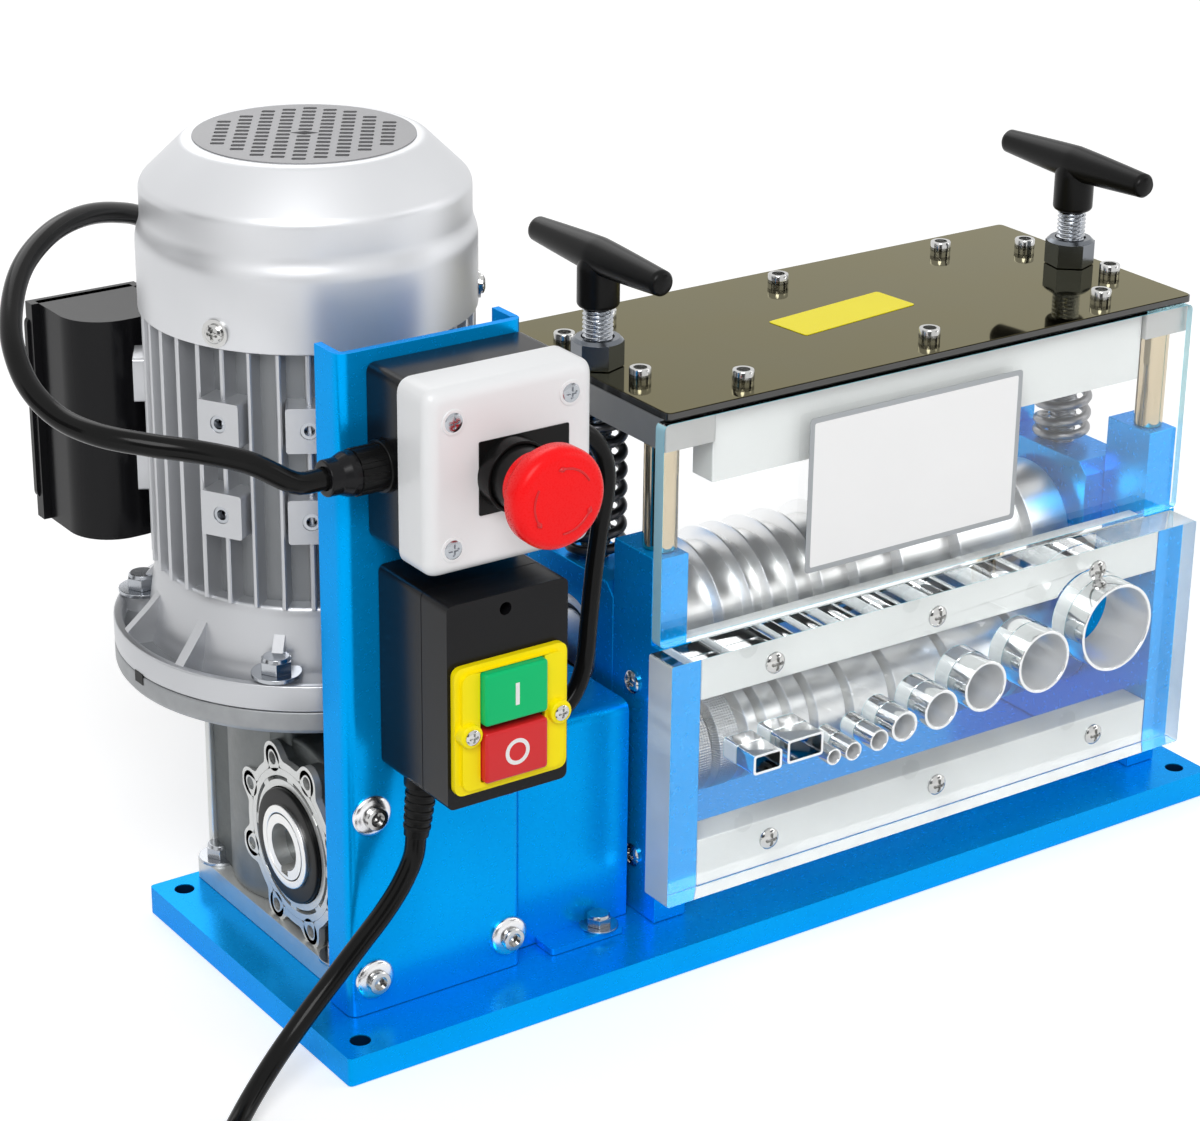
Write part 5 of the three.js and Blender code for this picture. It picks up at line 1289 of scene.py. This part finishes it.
gearSize = {
    "drum": 41.0, "drumX": (-186.0, -128.0), "foot": (-195, -121, -34, 76), "footTop": 21.0, "cover": 33.4,
    "face": -192.4, "lobes": 8,
    "lobe": 6.8, "pitch": 34.0, "seal": (14.0, 22.8), "race": (13.45, 16.5), "side": (10, 73.5),
    "bottom": 11.8, "top": 115.2, "neck": 36.0, "neckTop": 108, "hub": 13.0, "bore": 9.4,
    "keyHalf": 2.5, "keyHeight": 2.3, "rim": 3.1, "lobeHole": 2.6, "lobeRing": 5.2,
    "circles": ((30.2, 2.8), (25.8, 2.6)), "web": (24, 33.0, -2.2, 2.2),
    "boltX": (-188, -128), "boltY": (-27, 69), "boltHole": 4.4, "boltHead": (10, 5.0, 1.4), "bodyOut": 2,
    "stripX": (-3.6, 4), "stripY": (-1.2, 2.2), "stripLow": 20,
    "starBack": (2.6, 7.2), "starRim": (0, 3.0), "circleDepth": (0, 4.0), "webDepth": (0.2, 4.0),
    "sealDepth": (-2.0, 5.0), "raceDepth": (-3.4, 2.0), "wheel": (27.6, 1.0, 30), "wheelX": (-168, -146),
}


def starOutline(grow=0.0):
    # union of a disc and eight lobes: r(a) = larger of the disc and p cos d + sqrt(R^2 - p^2 sin^2 d)
    s = gearSize
    a = np.linspace(0, tau, 240, endpoint=False)
    d = (a % (tau / s["lobes"])) - tau / s["lobes"] / 2
    under = (s["lobe"] + grow) ** 2 - (s["pitch"] * np.sin(d)) ** 2
    reach = s["pitch"] * np.cos(d) + np.sqrt(np.clip(under, 0, None))
    r = np.where(under > 0, np.maximum(reach, s["cover"] + grow), s["cover"] + grow)
    for _ in range(3):
        r = (np.roll(r, 1) + 2 * r + np.roll(r, -1)) / 4
    return np.stack(onCircle(feedAxis, r, a), 1)


def makeGearbox():
    s = gearSize
    x0, x1 = s["drumX"]
    # painted highlight: the strip is a lighter band down the body's left back corner for its lit edge
    strip = [x0 + d for d in s["stripX"]] + [s["side"][1] + d for d in s["stripY"]]
    # painted shade: the drum, body and neck take the darker cast copies for faces in shade; painted light:
    # the foot takes the lighter one
    parts = [
        (barrel(0, s["drum"], x0, x1, "x", feedAxis, 96, 2.0), castDark),
        (slab(rectangle(x0 - s["bodyOut"], x1, *s["side"], 4, 6), "z", s["bottom"], s["top"]), castDark),
        (slab(rectangle(*strip, 1.2, 3), "z", s["stripLow"], s["top"]), castBright),
        (slab(rectangle(*s["foot"], 2, 4), "z", s["bottom"], s["footTop"],
            [circle(x, y, s["boltHole"], 24) for x in s["boltX"] for y in s["boltY"]]), castBright),
        (turned([(0, s["footTop"]), (s["neck"], s["footTop"]), (s["neck"], s["neckTop"]),
            (s["neck"] + 4, s["top"]), (0, s["top"])], "z", motorAxis, 72, soft=1.2), castShade),
    ]
    lobeAngles = [(k + 0.5) * tau / s["lobes"] for k in range(s["lobes"])]
    for side in (-1, 1):
        middle = (x0 + x1) / 2
        def plane(depth):
            return middle + side * (middle - s["face"] - depth)
        def flat(outline, near, far, holes=()):
            a, b = sorted((plane(near), plane(far)))
            return slab(outline, "x", a, b, holes)
        holes = [circle(*onCircle(feedAxis, s["pitch"], a), s["lobeHole"], 20) for a in lobeAngles]
        # painted shade on the star cover's recessed back, painted light on its raised rims, rings, circles
        # and ribs
        parts.append((flat(starOutline(), *s["starBack"], holes), castDark))
        parts.append((flat(starOutline(), *s["starRim"], [starOutline(-s["rim"])]), castBright))
        for a in lobeAngles:
            at = onCircle(feedAxis, s["pitch"], a)
            ring = flat(circle(*at, s["lobeRing"], 28), *s["starRim"], [circle(*at, s["lobeHole"], 28)])
            parts.append((ring, castBright))
        for radius, wide in s["circles"]:
            parts.append((flat(circle(*feedAxis, radius, 96), *s["circleDepth"],
                [circle(*feedAxis, radius - wide, 96)]), castBright))
        for a in lobeAngles:
            rib = rectangle(*s["web"]) @ turnFlat(a + tau / 16) + feedAxis
            parts.append((flat(rib, *s["webDepth"]), castBright))
        a, b = sorted(plane(depth) for depth in s["sealDepth"])
        parts.append((barrel(*s["seal"], a, b, "x", feedAxis, 80, 0.8), blackPlastic))
        a, b = sorted(plane(depth) for depth in s["raceDepth"])
        parts.append((barrel(*s["race"], a, b, "x", feedAxis, 80, 0.6), steelX))
    piece("gearboxHousing", parts, replaces=["gearbox_housing"], bevel=0.35)
    nuts = []
    for x in s["boltX"]:
        for y in s["boltY"][::-1]:
            nuts += hexBolt((x, y, s["footTop"]), "z", 1, *s["boltHead"], zinc)
    piece("footBolts", nuts, bevel=0.25)
    low, high = node("worm_wheel")
    half = s["keyHalf"]
    gap = math.asin(half / s["bore"])
    a = np.linspace(gap, tau - gap, 56) + math.pi / 2
    bore = [onCircle(feedAxis, s["bore"], t) for t in a]
    key = feedAxis[1] + s["bore"] + s["keyHeight"]
    bore += [(feedAxis[0] + half, key), (feedAxis[0] - half, key)]
    bore = [(u, 2 * feedAxis[1] - v) for u, v in bore]
    hub = slab(circle(*feedAxis, s["hub"], 72), "x", low[0], high[0], [bore])
    teeth = np.linspace(0, tau, 240, endpoint=False)
    middle, rise, count = s["wheel"]
    r = middle + rise * np.cos(count * teeth)
    wheel = slab(np.stack(onCircle(feedAxis, r, teeth), 1), "x", *s["wheelX"],
        [circle(*feedAxis, s["hub"] - 0.5, 72)])
    piece("wormWheel", [(hub, steelX), (wheel, brass)], body="feed_shaft",
        replaces=["worm_wheel"], bevel=0.3)


makeGearbox()
print("gearbox ready")


# emergency stop

stopSize = {
    "centre": (-156.4, 234.5), "box": 65.0, "boxFront": -77.7, "back": -55.3, "cover": 68.0,
    "coverBack": -78.0, "front": -97.0, "bevel": 5.0,
    "corner": 6.0, "knob": (-157.5, 234.2), "legend": (-170.0, -133.5, 220.6, 247.4),
    "screws": [(-180, 256.5), (-132.6, 258), (-180.5, 210.5), (-132.6, 210.5)],
    "glandAxis": (-66.0, 233.0), "glandTips": (-212.6, -120.5), "stem": (6, -124, -64),
    "collar": (11.9, 13.0, -103.65),
    "faceRadius": 14.4, "face": -130.5, "crown": 0.8, "lip": (3.8, 3.9, -125.8),
    "recess": (3.3, 4.6, -0.35, 0.4), "screwHead": (3.5, 1.0), "legendHalf": 0.5, "neckRadius": 11.5,
    "neckFront": -110.5, "neckBack": -102.65,
    "under": [(18.1, -121.5), (17.2, -120.0), (14.2, -119.2), (12.4, -116.0), (11.6, -110.5)],
    "arrow": (11.6, -130.05),
}


def domedBox(x0, x1, z0, z1, back, front, corner, bevel, steps=10):
    # rounded-square rings from back to front; the last ones shrink along a quarter circle to a flat face
    rings = [(0.0, back), (0.0, front + bevel)]
    rings += [(bevel * (1 - math.cos(t)), front + bevel - bevel * math.sin(t))
        for t in np.linspace(0, math.pi / 2, steps)[1:]]
    loops = []
    for inset, y in rings:
        loop = grown(x0, x1, z0, z1, -inset, max(corner - inset * 0.4, 1), 8)
        loops.append(toAxis(loop[:, 0], loop[:, 1], y, "y"))
    return closed(np.array(loops))


glandSize = {
    "flange": (9.6, -0.5, 2.2), "bush": (7.6, 6.2, 1.8), "grip": (8.5, 0.35, 12), "gripX": (2.0, 12.5),
    "cap": [(8.1, 12.3), (8.0, 15.5), (6.6, 19)], "mouth": (6.5, 4.1, 4.0, 14),
}


def gland(tip, base, side):
    # cable gland: round nut with grip flats and a domed compression cap
    g, at = glandSize, stopSize["glandAxis"]
    def x(d):
        return base + side * d
    radius, *ends = g["flange"]
    flange = barrel(0, radius, *sorted(x(d) for d in ends), "x", at, 48, 0.5)
    wide, narrow, start = g["bush"]
    bush = turned([(0, x(start)), (wide, x(start)), (narrow, tip), (0, tip)], "x", at, 40, soft=0.4)
    radius, depth, count = g["grip"]
    a = np.linspace(0, tau, 192, endpoint=False)
    r = radius - depth * (np.cos(a * count) > 0)
    grip = slab(np.stack(onCircle(at, r, a), 1), "x", *sorted(x(d) for d in g["gripX"]))
    rim, mouth, inside, deep = g["mouth"]
    rows = [(0, x(g["cap"][0][1])), *[(r, x(d)) for r, d in g["cap"]], (rim, tip), (mouth, tip),
        (inside, x(deep)), (0, x(deep))]
    cap = turned(rows, "x", at, 48, soft=0.6)
    if side < 0:
        return [(flange, blackPlastic), (grip, blackPlastic), (cap, blackCase)]
    return [(flange, blackPlastic), (bush, blackPlastic)]


def makeStop():
    s = stopSize
    (cx, cz), half = s["centre"], s["box"] / 2
    box = slab(grown(cx, cx, cz, cz, half, 4, 8), "y", s["boxFront"], s["back"])
    parts = [(box, blackCase)]
    parts += gland(s["glandTips"][0], cx - half, -1) + gland(s["glandTips"][1], cx + half, 1)
    piece("stopBox", parts, replaces=["estop_box"], bevel=0.8)
    half = s["cover"] / 2
    cover = domedBox(cx - half, cx + half, cz - half, cz + half, s["coverBack"], s["front"],
        s["corner"], s["bevel"])
    lx0, lx1, lz0, lz1 = s["legend"]
    legend = slab(rectangle(lx0, lx1, lz0, lz1, 0.6, 2), "y", s["front"] - s["legendHalf"],
        s["front"] + s["legendHalf"])
    kx, kz = s["knob"]
    # the button's neck slides in this collar and ends short of the cover by more than its 5 mm stroke
    collar = barrel(*s["collar"], s["front"] + 1, "y", (kx, kz), 64, 0.3)
    piece("stopCover", [(cover, whitePlastic), (legend, blackPlastic), (collar, blackPlastic)],
        replaces=["estop_cover"])
    screws = []
    inner, outer, near, far = s["recess"]
    for x, z in s["screws"]:
        recess = barrel(inner, outer, s["front"] + near, s["front"] + far, "y", (x, z), 36, 0.2)
        screws += [(recess, whitePlastic)] + crossScrew((x, z, s["front"]), "y", -1, *s["screwHead"], zinc)
    piece("stopCoverScrews", screws)
    stem = barrel(0, *s["stem"], "y", (kx, kz), 40, 0.5)
    piece("stopStem", [(stem, blackPlastic)], body="stop_stem", replaces=["estop_stem"])
    # mushroom profile: crowned face, rounded rim, waist and skirt
    r, (wide, deep, y) = s["faceRadius"], s["lip"]
    face = [(t, s["face"] + s["crown"] * (t / r) ** 2) for t in np.linspace(0, r, 9)]
    rim = [(r + wide * math.sin(t), y - deep * math.cos(t)) for t in np.linspace(0.15, math.pi / 2, 8)]
    knob = turned(face + rim + s["under"] + [(0, s["neckFront"])], "y", (kx, kz), 96)
    sleeve = barrel(0, s["neckRadius"], s["neckFront"] - 0.1, s["neckBack"], "y", (kx, kz), 64, 0.2)
    marks = []
    for k in range(3):
        start = k * tau / 3 + 0.5
        a = np.linspace(start, start + 1.25, 24)
        r, y = s["arrow"]
        arc = toAxis(*onCircle((kx, kz), r, a), y, "y")
        marks.append((swept(arc, np.r_[np.full(20, 0.42), 0.9, 1.0, 0.7, 0.2], 8), redPlastic))
    piece("stopButton", [(knob, stopRed), (sleeve, blackPlastic)] + marks, body="stop_head",
        replaces=["estop_button"], sharp=50)


# start and stop switch

switchSize = {
    "x": (-185.5, -135.5), "z": (113.5, 191.5), "front": -100.6, "back": -55.3, "seam": -84.0, "corner": 3.0,
    "hole": (-161.5, 185.5, 2.4),
    "bezelX": (-184.2, -137.5), "bezelZ": (119.5, 168.5), "bezelFront": -105.0, "ears": (-179.4, -142.4),
    "earZ": 143.5, "ear": 4.75, "earFront": -108.6,
    "keyX": (-174.4, -148.4), "start": (146.0, 166.0), "stop": (124.0, 143.5), "keyFront": -108.6,
    "keyBack": -91.0,
    "mains": (-177.6, -70.0), "reliefFlange": (6.5, 4.5),
    "reliefRings": 5, "ringFirst": 3.5, "ringStep": 3.2, "ringRadius": 5.3, "ringTaper": 0.16,
    "plateOut": 2.6, "rim": 2.2, "gap": 0.4, "cup": 1.2, "cupBack": -84.2, "link": (-71, 120),
    "screwHead": (2.9, 1.2),
    "reliefTop": 109.5, "reliefLength": 20.0, "reliefTilt": 7.5,
}


def makeSwitch():
    s = switchSize
    (x0, x1), (z0, z1) = s["x"], s["z"]
    rear = slab(rectangle(x0, x1, z0, z1, s["corner"], 6), "y", s["seam"] + 0.35, s["back"])
    hx, hz, hr = s["hole"]
    front = slab(rectangle(x0, x1, z0, z1, s["corner"], 6), "y", s["front"], s["seam"],
        [circle(hx, hz, hr, 28), grown(*s["keyX"], s["stop"][0], s["start"][1], 2)])
    seam = slab(grown(x0, x1, z0, z1, -0.6, s["corner"], 6), "y", s["seam"] - 0.2, s["seam"] + 0.6)
    pin = slab(circle(hx, hz, hr + 0.4, 24), "y", s["seam"] - 8, s["seam"])
    mx, my = s["mains"]
    top, long = s["reliefTop"], s["reliefLength"]
    wide, tall = s["reliefFlange"]
    flange = barrel(0, wide, top, top + tall, "z", (mx, my), 40, 0.6)
    sleeve = [turned([(0, -long), (4.1, -long), (4.6, -long), (5.6, 2), (0, 2)], "z", (0, 0), 40, soft=0.4)]
    for k in range(s["reliefRings"]):
        z = -s["ringFirst"] - k * s["ringStep"]
        r = s["ringRadius"] - s["ringTaper"] * k
        sleeve.append(barrel(r - 0.8, r + 0.45, z - 0.8, z + 0.8, "z", (0, 0), 40, 0.3))
    sleeve = [moved(moved(shape, turn=math.radians(s["reliefTilt"]), about="y"), (mx, my, top))
        for shape in sleeve]
    parts = [(rear, blackCase), (front, blackCase), (seam, blackPlastic), (pin, blackPlastic),
        (flange, blackPlastic)]
    parts += [(shape, blackPlastic) for shape in sleeve]
    link = turned([(0, x1 - 0.5), (6.5, x1 - 0.5), (6.5, x1 + 2.4), (4.6, x1 + 4), (0, x1 + 4)], "x",
        s["link"], 40, soft=0.4)
    parts.append((link, blackPlastic))
    piece("switchBox", parts, replaces=["switch_box"], bevel=0.9, bevelSteps=3)
    (a0, a1), (b0, b1) = s["bezelX"], s["bezelZ"]
    gap, rim, grow = s["gap"], s["rim"], s["cup"]
    window = grown(*s["keyX"], s["stop"][0], s["start"][1], gap, 1.0, 3)
    outer = slab(rectangle(a0, a1, b0, b1, 4, 6), "y", s["front"] - s["plateOut"], s["front"] - 0.1, [window])
    raised = slab(grown(a0, a1, b0, b1, -rim, 4, 6), "y", s["bezelFront"], s["front"] - 2, [window])
    u, v = window.T
    cup = slab(grown(u.min(), u.max(), v.min(), v.max(), grow), "y", s["front"], s["cupBack"], [window])
    frame = [(outer, bezelYellow), (raised, bezelYellow), (cup, bezelYellow)]
    screws = []
    for x in s["ears"]:
        frame.append((turned([(0, s["earFront"] + 1.2), (s["ear"] - 0.4, s["earFront"] + 1.2),
            (s["ear"], s["front"] - 0.2), (0, s["front"] - 0.2)], "y", (x, s["earZ"]), 40, soft=0.8),
            bezelYellow))
        screws += crossScrew((x, s["earZ"], s["earFront"] + 1.25), "y", -1, *s["screwHead"], nickel)
    piece("switchBezel", frame, replaces=["switch_bezel"], bevel=0.6, bevelSteps=3)
    piece("bezelScrews", screws)
    for name, body, slotName, (k0, k1), finish in (
            ("startButton", "start_key", "green_plastic", s["start"], startGreen),
            ("stopKey", "stop_key", "red_plastic", s["stop"], redPlastic)):
        key = domedBox(s["keyX"][0], s["keyX"][1], k0, k1, s["keyBack"], s["keyFront"] + 0.5, 1.5, 1.2, 6)
        shapes = [(key, finish)]
        mid = ((s["keyX"][0] + s["keyX"][1]) / 2, (k0 + k1) / 2)
        face = s["keyFront"] + 0.5
        if name == "startButton":
            mark = slab(rectangle(mid[0] - 0.8, mid[0] + 0.8, mid[1] - 4.2, mid[1] + 4.2), "y",
                face - 0.12, face + 0.3)
        else:
            mark = slab(circle(*mid, 5.0, 48), "y", face - 0.12, face + 0.3, [circle(*mid, 3.5, 48)])
        shapes.append((mark, markWhite))
        old = "start_button" if name == "startButton" else "stop_button"
        piece(name, shapes, body=body, replaces=[old])


makeStop()
makeSwitch()
print("switches ready")


# leads, mains cord, coil and plug

leadSize = {
    "lead": 4.0, "link": 3.4, "mains": 3.9,
    "leadPath": [(-212, -66, 233), (-217, -66, 233), (-223, -66, 233.6), (-238.8, -62, 243),
        (-254.2, -56, 248.1), (-268.5, -48, 251), (-280.8, -36, 253.2), (-287.2, -20, 255.6),
        (-290.2, -4, 262), (-287.5, 14, 271.6), (-279, 32, 279.5), (-266, 50, 286.6), (-246.8, 68, 290.9),
        (-226.1, 84, 290), (-207, 97, 285.1), (-189.5, 108, 277.4), (-175, 114, 265), (-168, 115, 252),
        (-167, 115, 244.3), (-167, 115, 236.5)],
    "linkPath": [(-120.9, -66, 233), (-118.6, -66, 233), (-113.4, -66, 232.2), (-107.6, -66, 229.8),
        (-102.6, -66, 226), (-98.8, -66, 221), (-96.4, -66, 215.2), (-95.6, -66, 209), (-96, -66, 203),
        (-98.3, -66.3, 191.5), (-101.5, -67, 173), (-104.3, -68, 153), (-105.4, -68.6, 145.4),
        (-106.6, -69, 139.6), (-108.8, -69.6, 133.6), (-112.3, -70.2, 128.1), (-117.2, -70.7, 123.9),
        (-123, -71, 121.2), (-129, -71, 120), (-131.8, -71, 120)],
    "mainsPath": [(-179.2, -70, 97.6), (-180.26, -70, 89.4), (-181.25, -70, 81.9), (-186.2, -69.9, 71.9),
        (-193.4, -69.1, 61.8), (-202, -67.6, 51.6), (-212.4, -66.6, 40.4), (-226, -67.4, 28.2),
        (-240.6, -71.4, 17.8), (-255, -78.6, 9.8), (-266.4, -86.8, 5.4), (-277, -96.6, 4.3),
        (-286.4, -105.6, 4.3), (-295.2, -112, 4.3)],
    "coil": (-312, -167.5), "outer": 54.0, "pitch": 8.8, "turnsIn": 3.0, "cross": 0.25, "turnsOut": 2.25,
    "tail": 64.0, "floor": 4.3,
}


plugSize = {
    "neck": [(0, -1), (4.4, -1), (5.2, 6), (6.0, 14), (7.6, 17), (0, 17)], "wide": (19, 6.5),
    "tall": (12.2, 3.0), "corner": 7.5,
    "start": 16.3, "length": 44, "face": 60.3, "pin": [(0, -1), (2.4, -1), (2.4, 18.2), (1.4, 19), (0, 19)],
    "pinApart": 9.5,
}


def coilPath():
    # p(t) = (r cos a, r sin a, z): r falls by the pitch each turn on the floor, then grows one layer higher
    s = leadSize
    turns = np.linspace(0, s["turnsIn"] + s["cross"] + s["turnsOut"], 200)
    wayIn = s["outer"] - s["pitch"] * np.minimum(turns, s["turnsIn"])
    r = wayIn + s["pitch"] * np.maximum(turns - s["turnsIn"] - s["cross"], 0)
    u = np.clip((turns - s["turnsIn"]) / s["cross"], 0, 1)
    z = s["floor"] + s["pitch"] * u * u * (3 - 2 * u)
    a = math.pi / 2 + turns * tau
    turnsPath = toAxis(*onCircle(s["coil"], r, a), z, "z")
    tail = np.linspace(0, s["tail"], 16)[1:]
    end = turnsPath[-1]
    return np.vstack([turnsPath, np.stack([end[0] + tail, np.full(15, end[1]), np.full(15, end[2])], 1)])


def makeLeads():
    s = leadSize
    for name, key, size, old, slack in (("motorLead", "leadPath", s["lead"], "motor_lead", "stiff"),
            ("linkLead", "linkPath", s["link"], "link_lead", "medium")):
        path = smoothPath(s[key], 2.5)
        made = piece(name, [(swept(path, size, 24), cable)], replaces=[old], sharp=60)
    path = np.vstack([smoothPath(s["mainsPath"] + [tuple(coilPath()[0])], 2.5)[:-1], coilPath()])
    made = piece("mainsCord", [(swept(path, s["mains"], 20), cable)],
        replaces=["mains_cord", "mains_coil"], sharp=60)
    end = path[-1]
    x, y, z = end
    neck = turned([(r, x + d) for r, d in plugSize["neck"]], "x", (y, z), 40, soft=0.6)
    # plug body: half sizes fall short of the full ones by less * (1 - t)^2, t from the neck to the face
    rings = []
    (fullWide, lessWide), (fullTall, lessTall) = plugSize["wide"], plugSize["tall"]
    for k in range(12):
        t = k / 11
        wide, tall = fullWide - lessWide * (1 - t) ** 2, fullTall - lessTall * (1 - t) ** 2
        loop = rectangle(-wide, wide, -tall, tall, plugSize["corner"], 8)
        along = x + plugSize["start"] + plugSize["length"] * t
        rings.append(toAxis(y + loop[:, 0], z + loop[:, 1], along, "x"))
    plug = [(neck, cable), (closed(np.array(rings)), blackPlastic)]
    for side in (-1, 1):
        base = x + plugSize["face"]
        plug.append((turned([(r, base + d) for r, d in plugSize["pin"]], "x",
            (y + side * plugSize["pinApart"], z), 28, soft=0.3), brass))
    plugPiece = piece("mainsPlug", plug, replaces=["mains_plug"], bevel=0.5, sharp=50)


makeLeads()
print("leads ready")
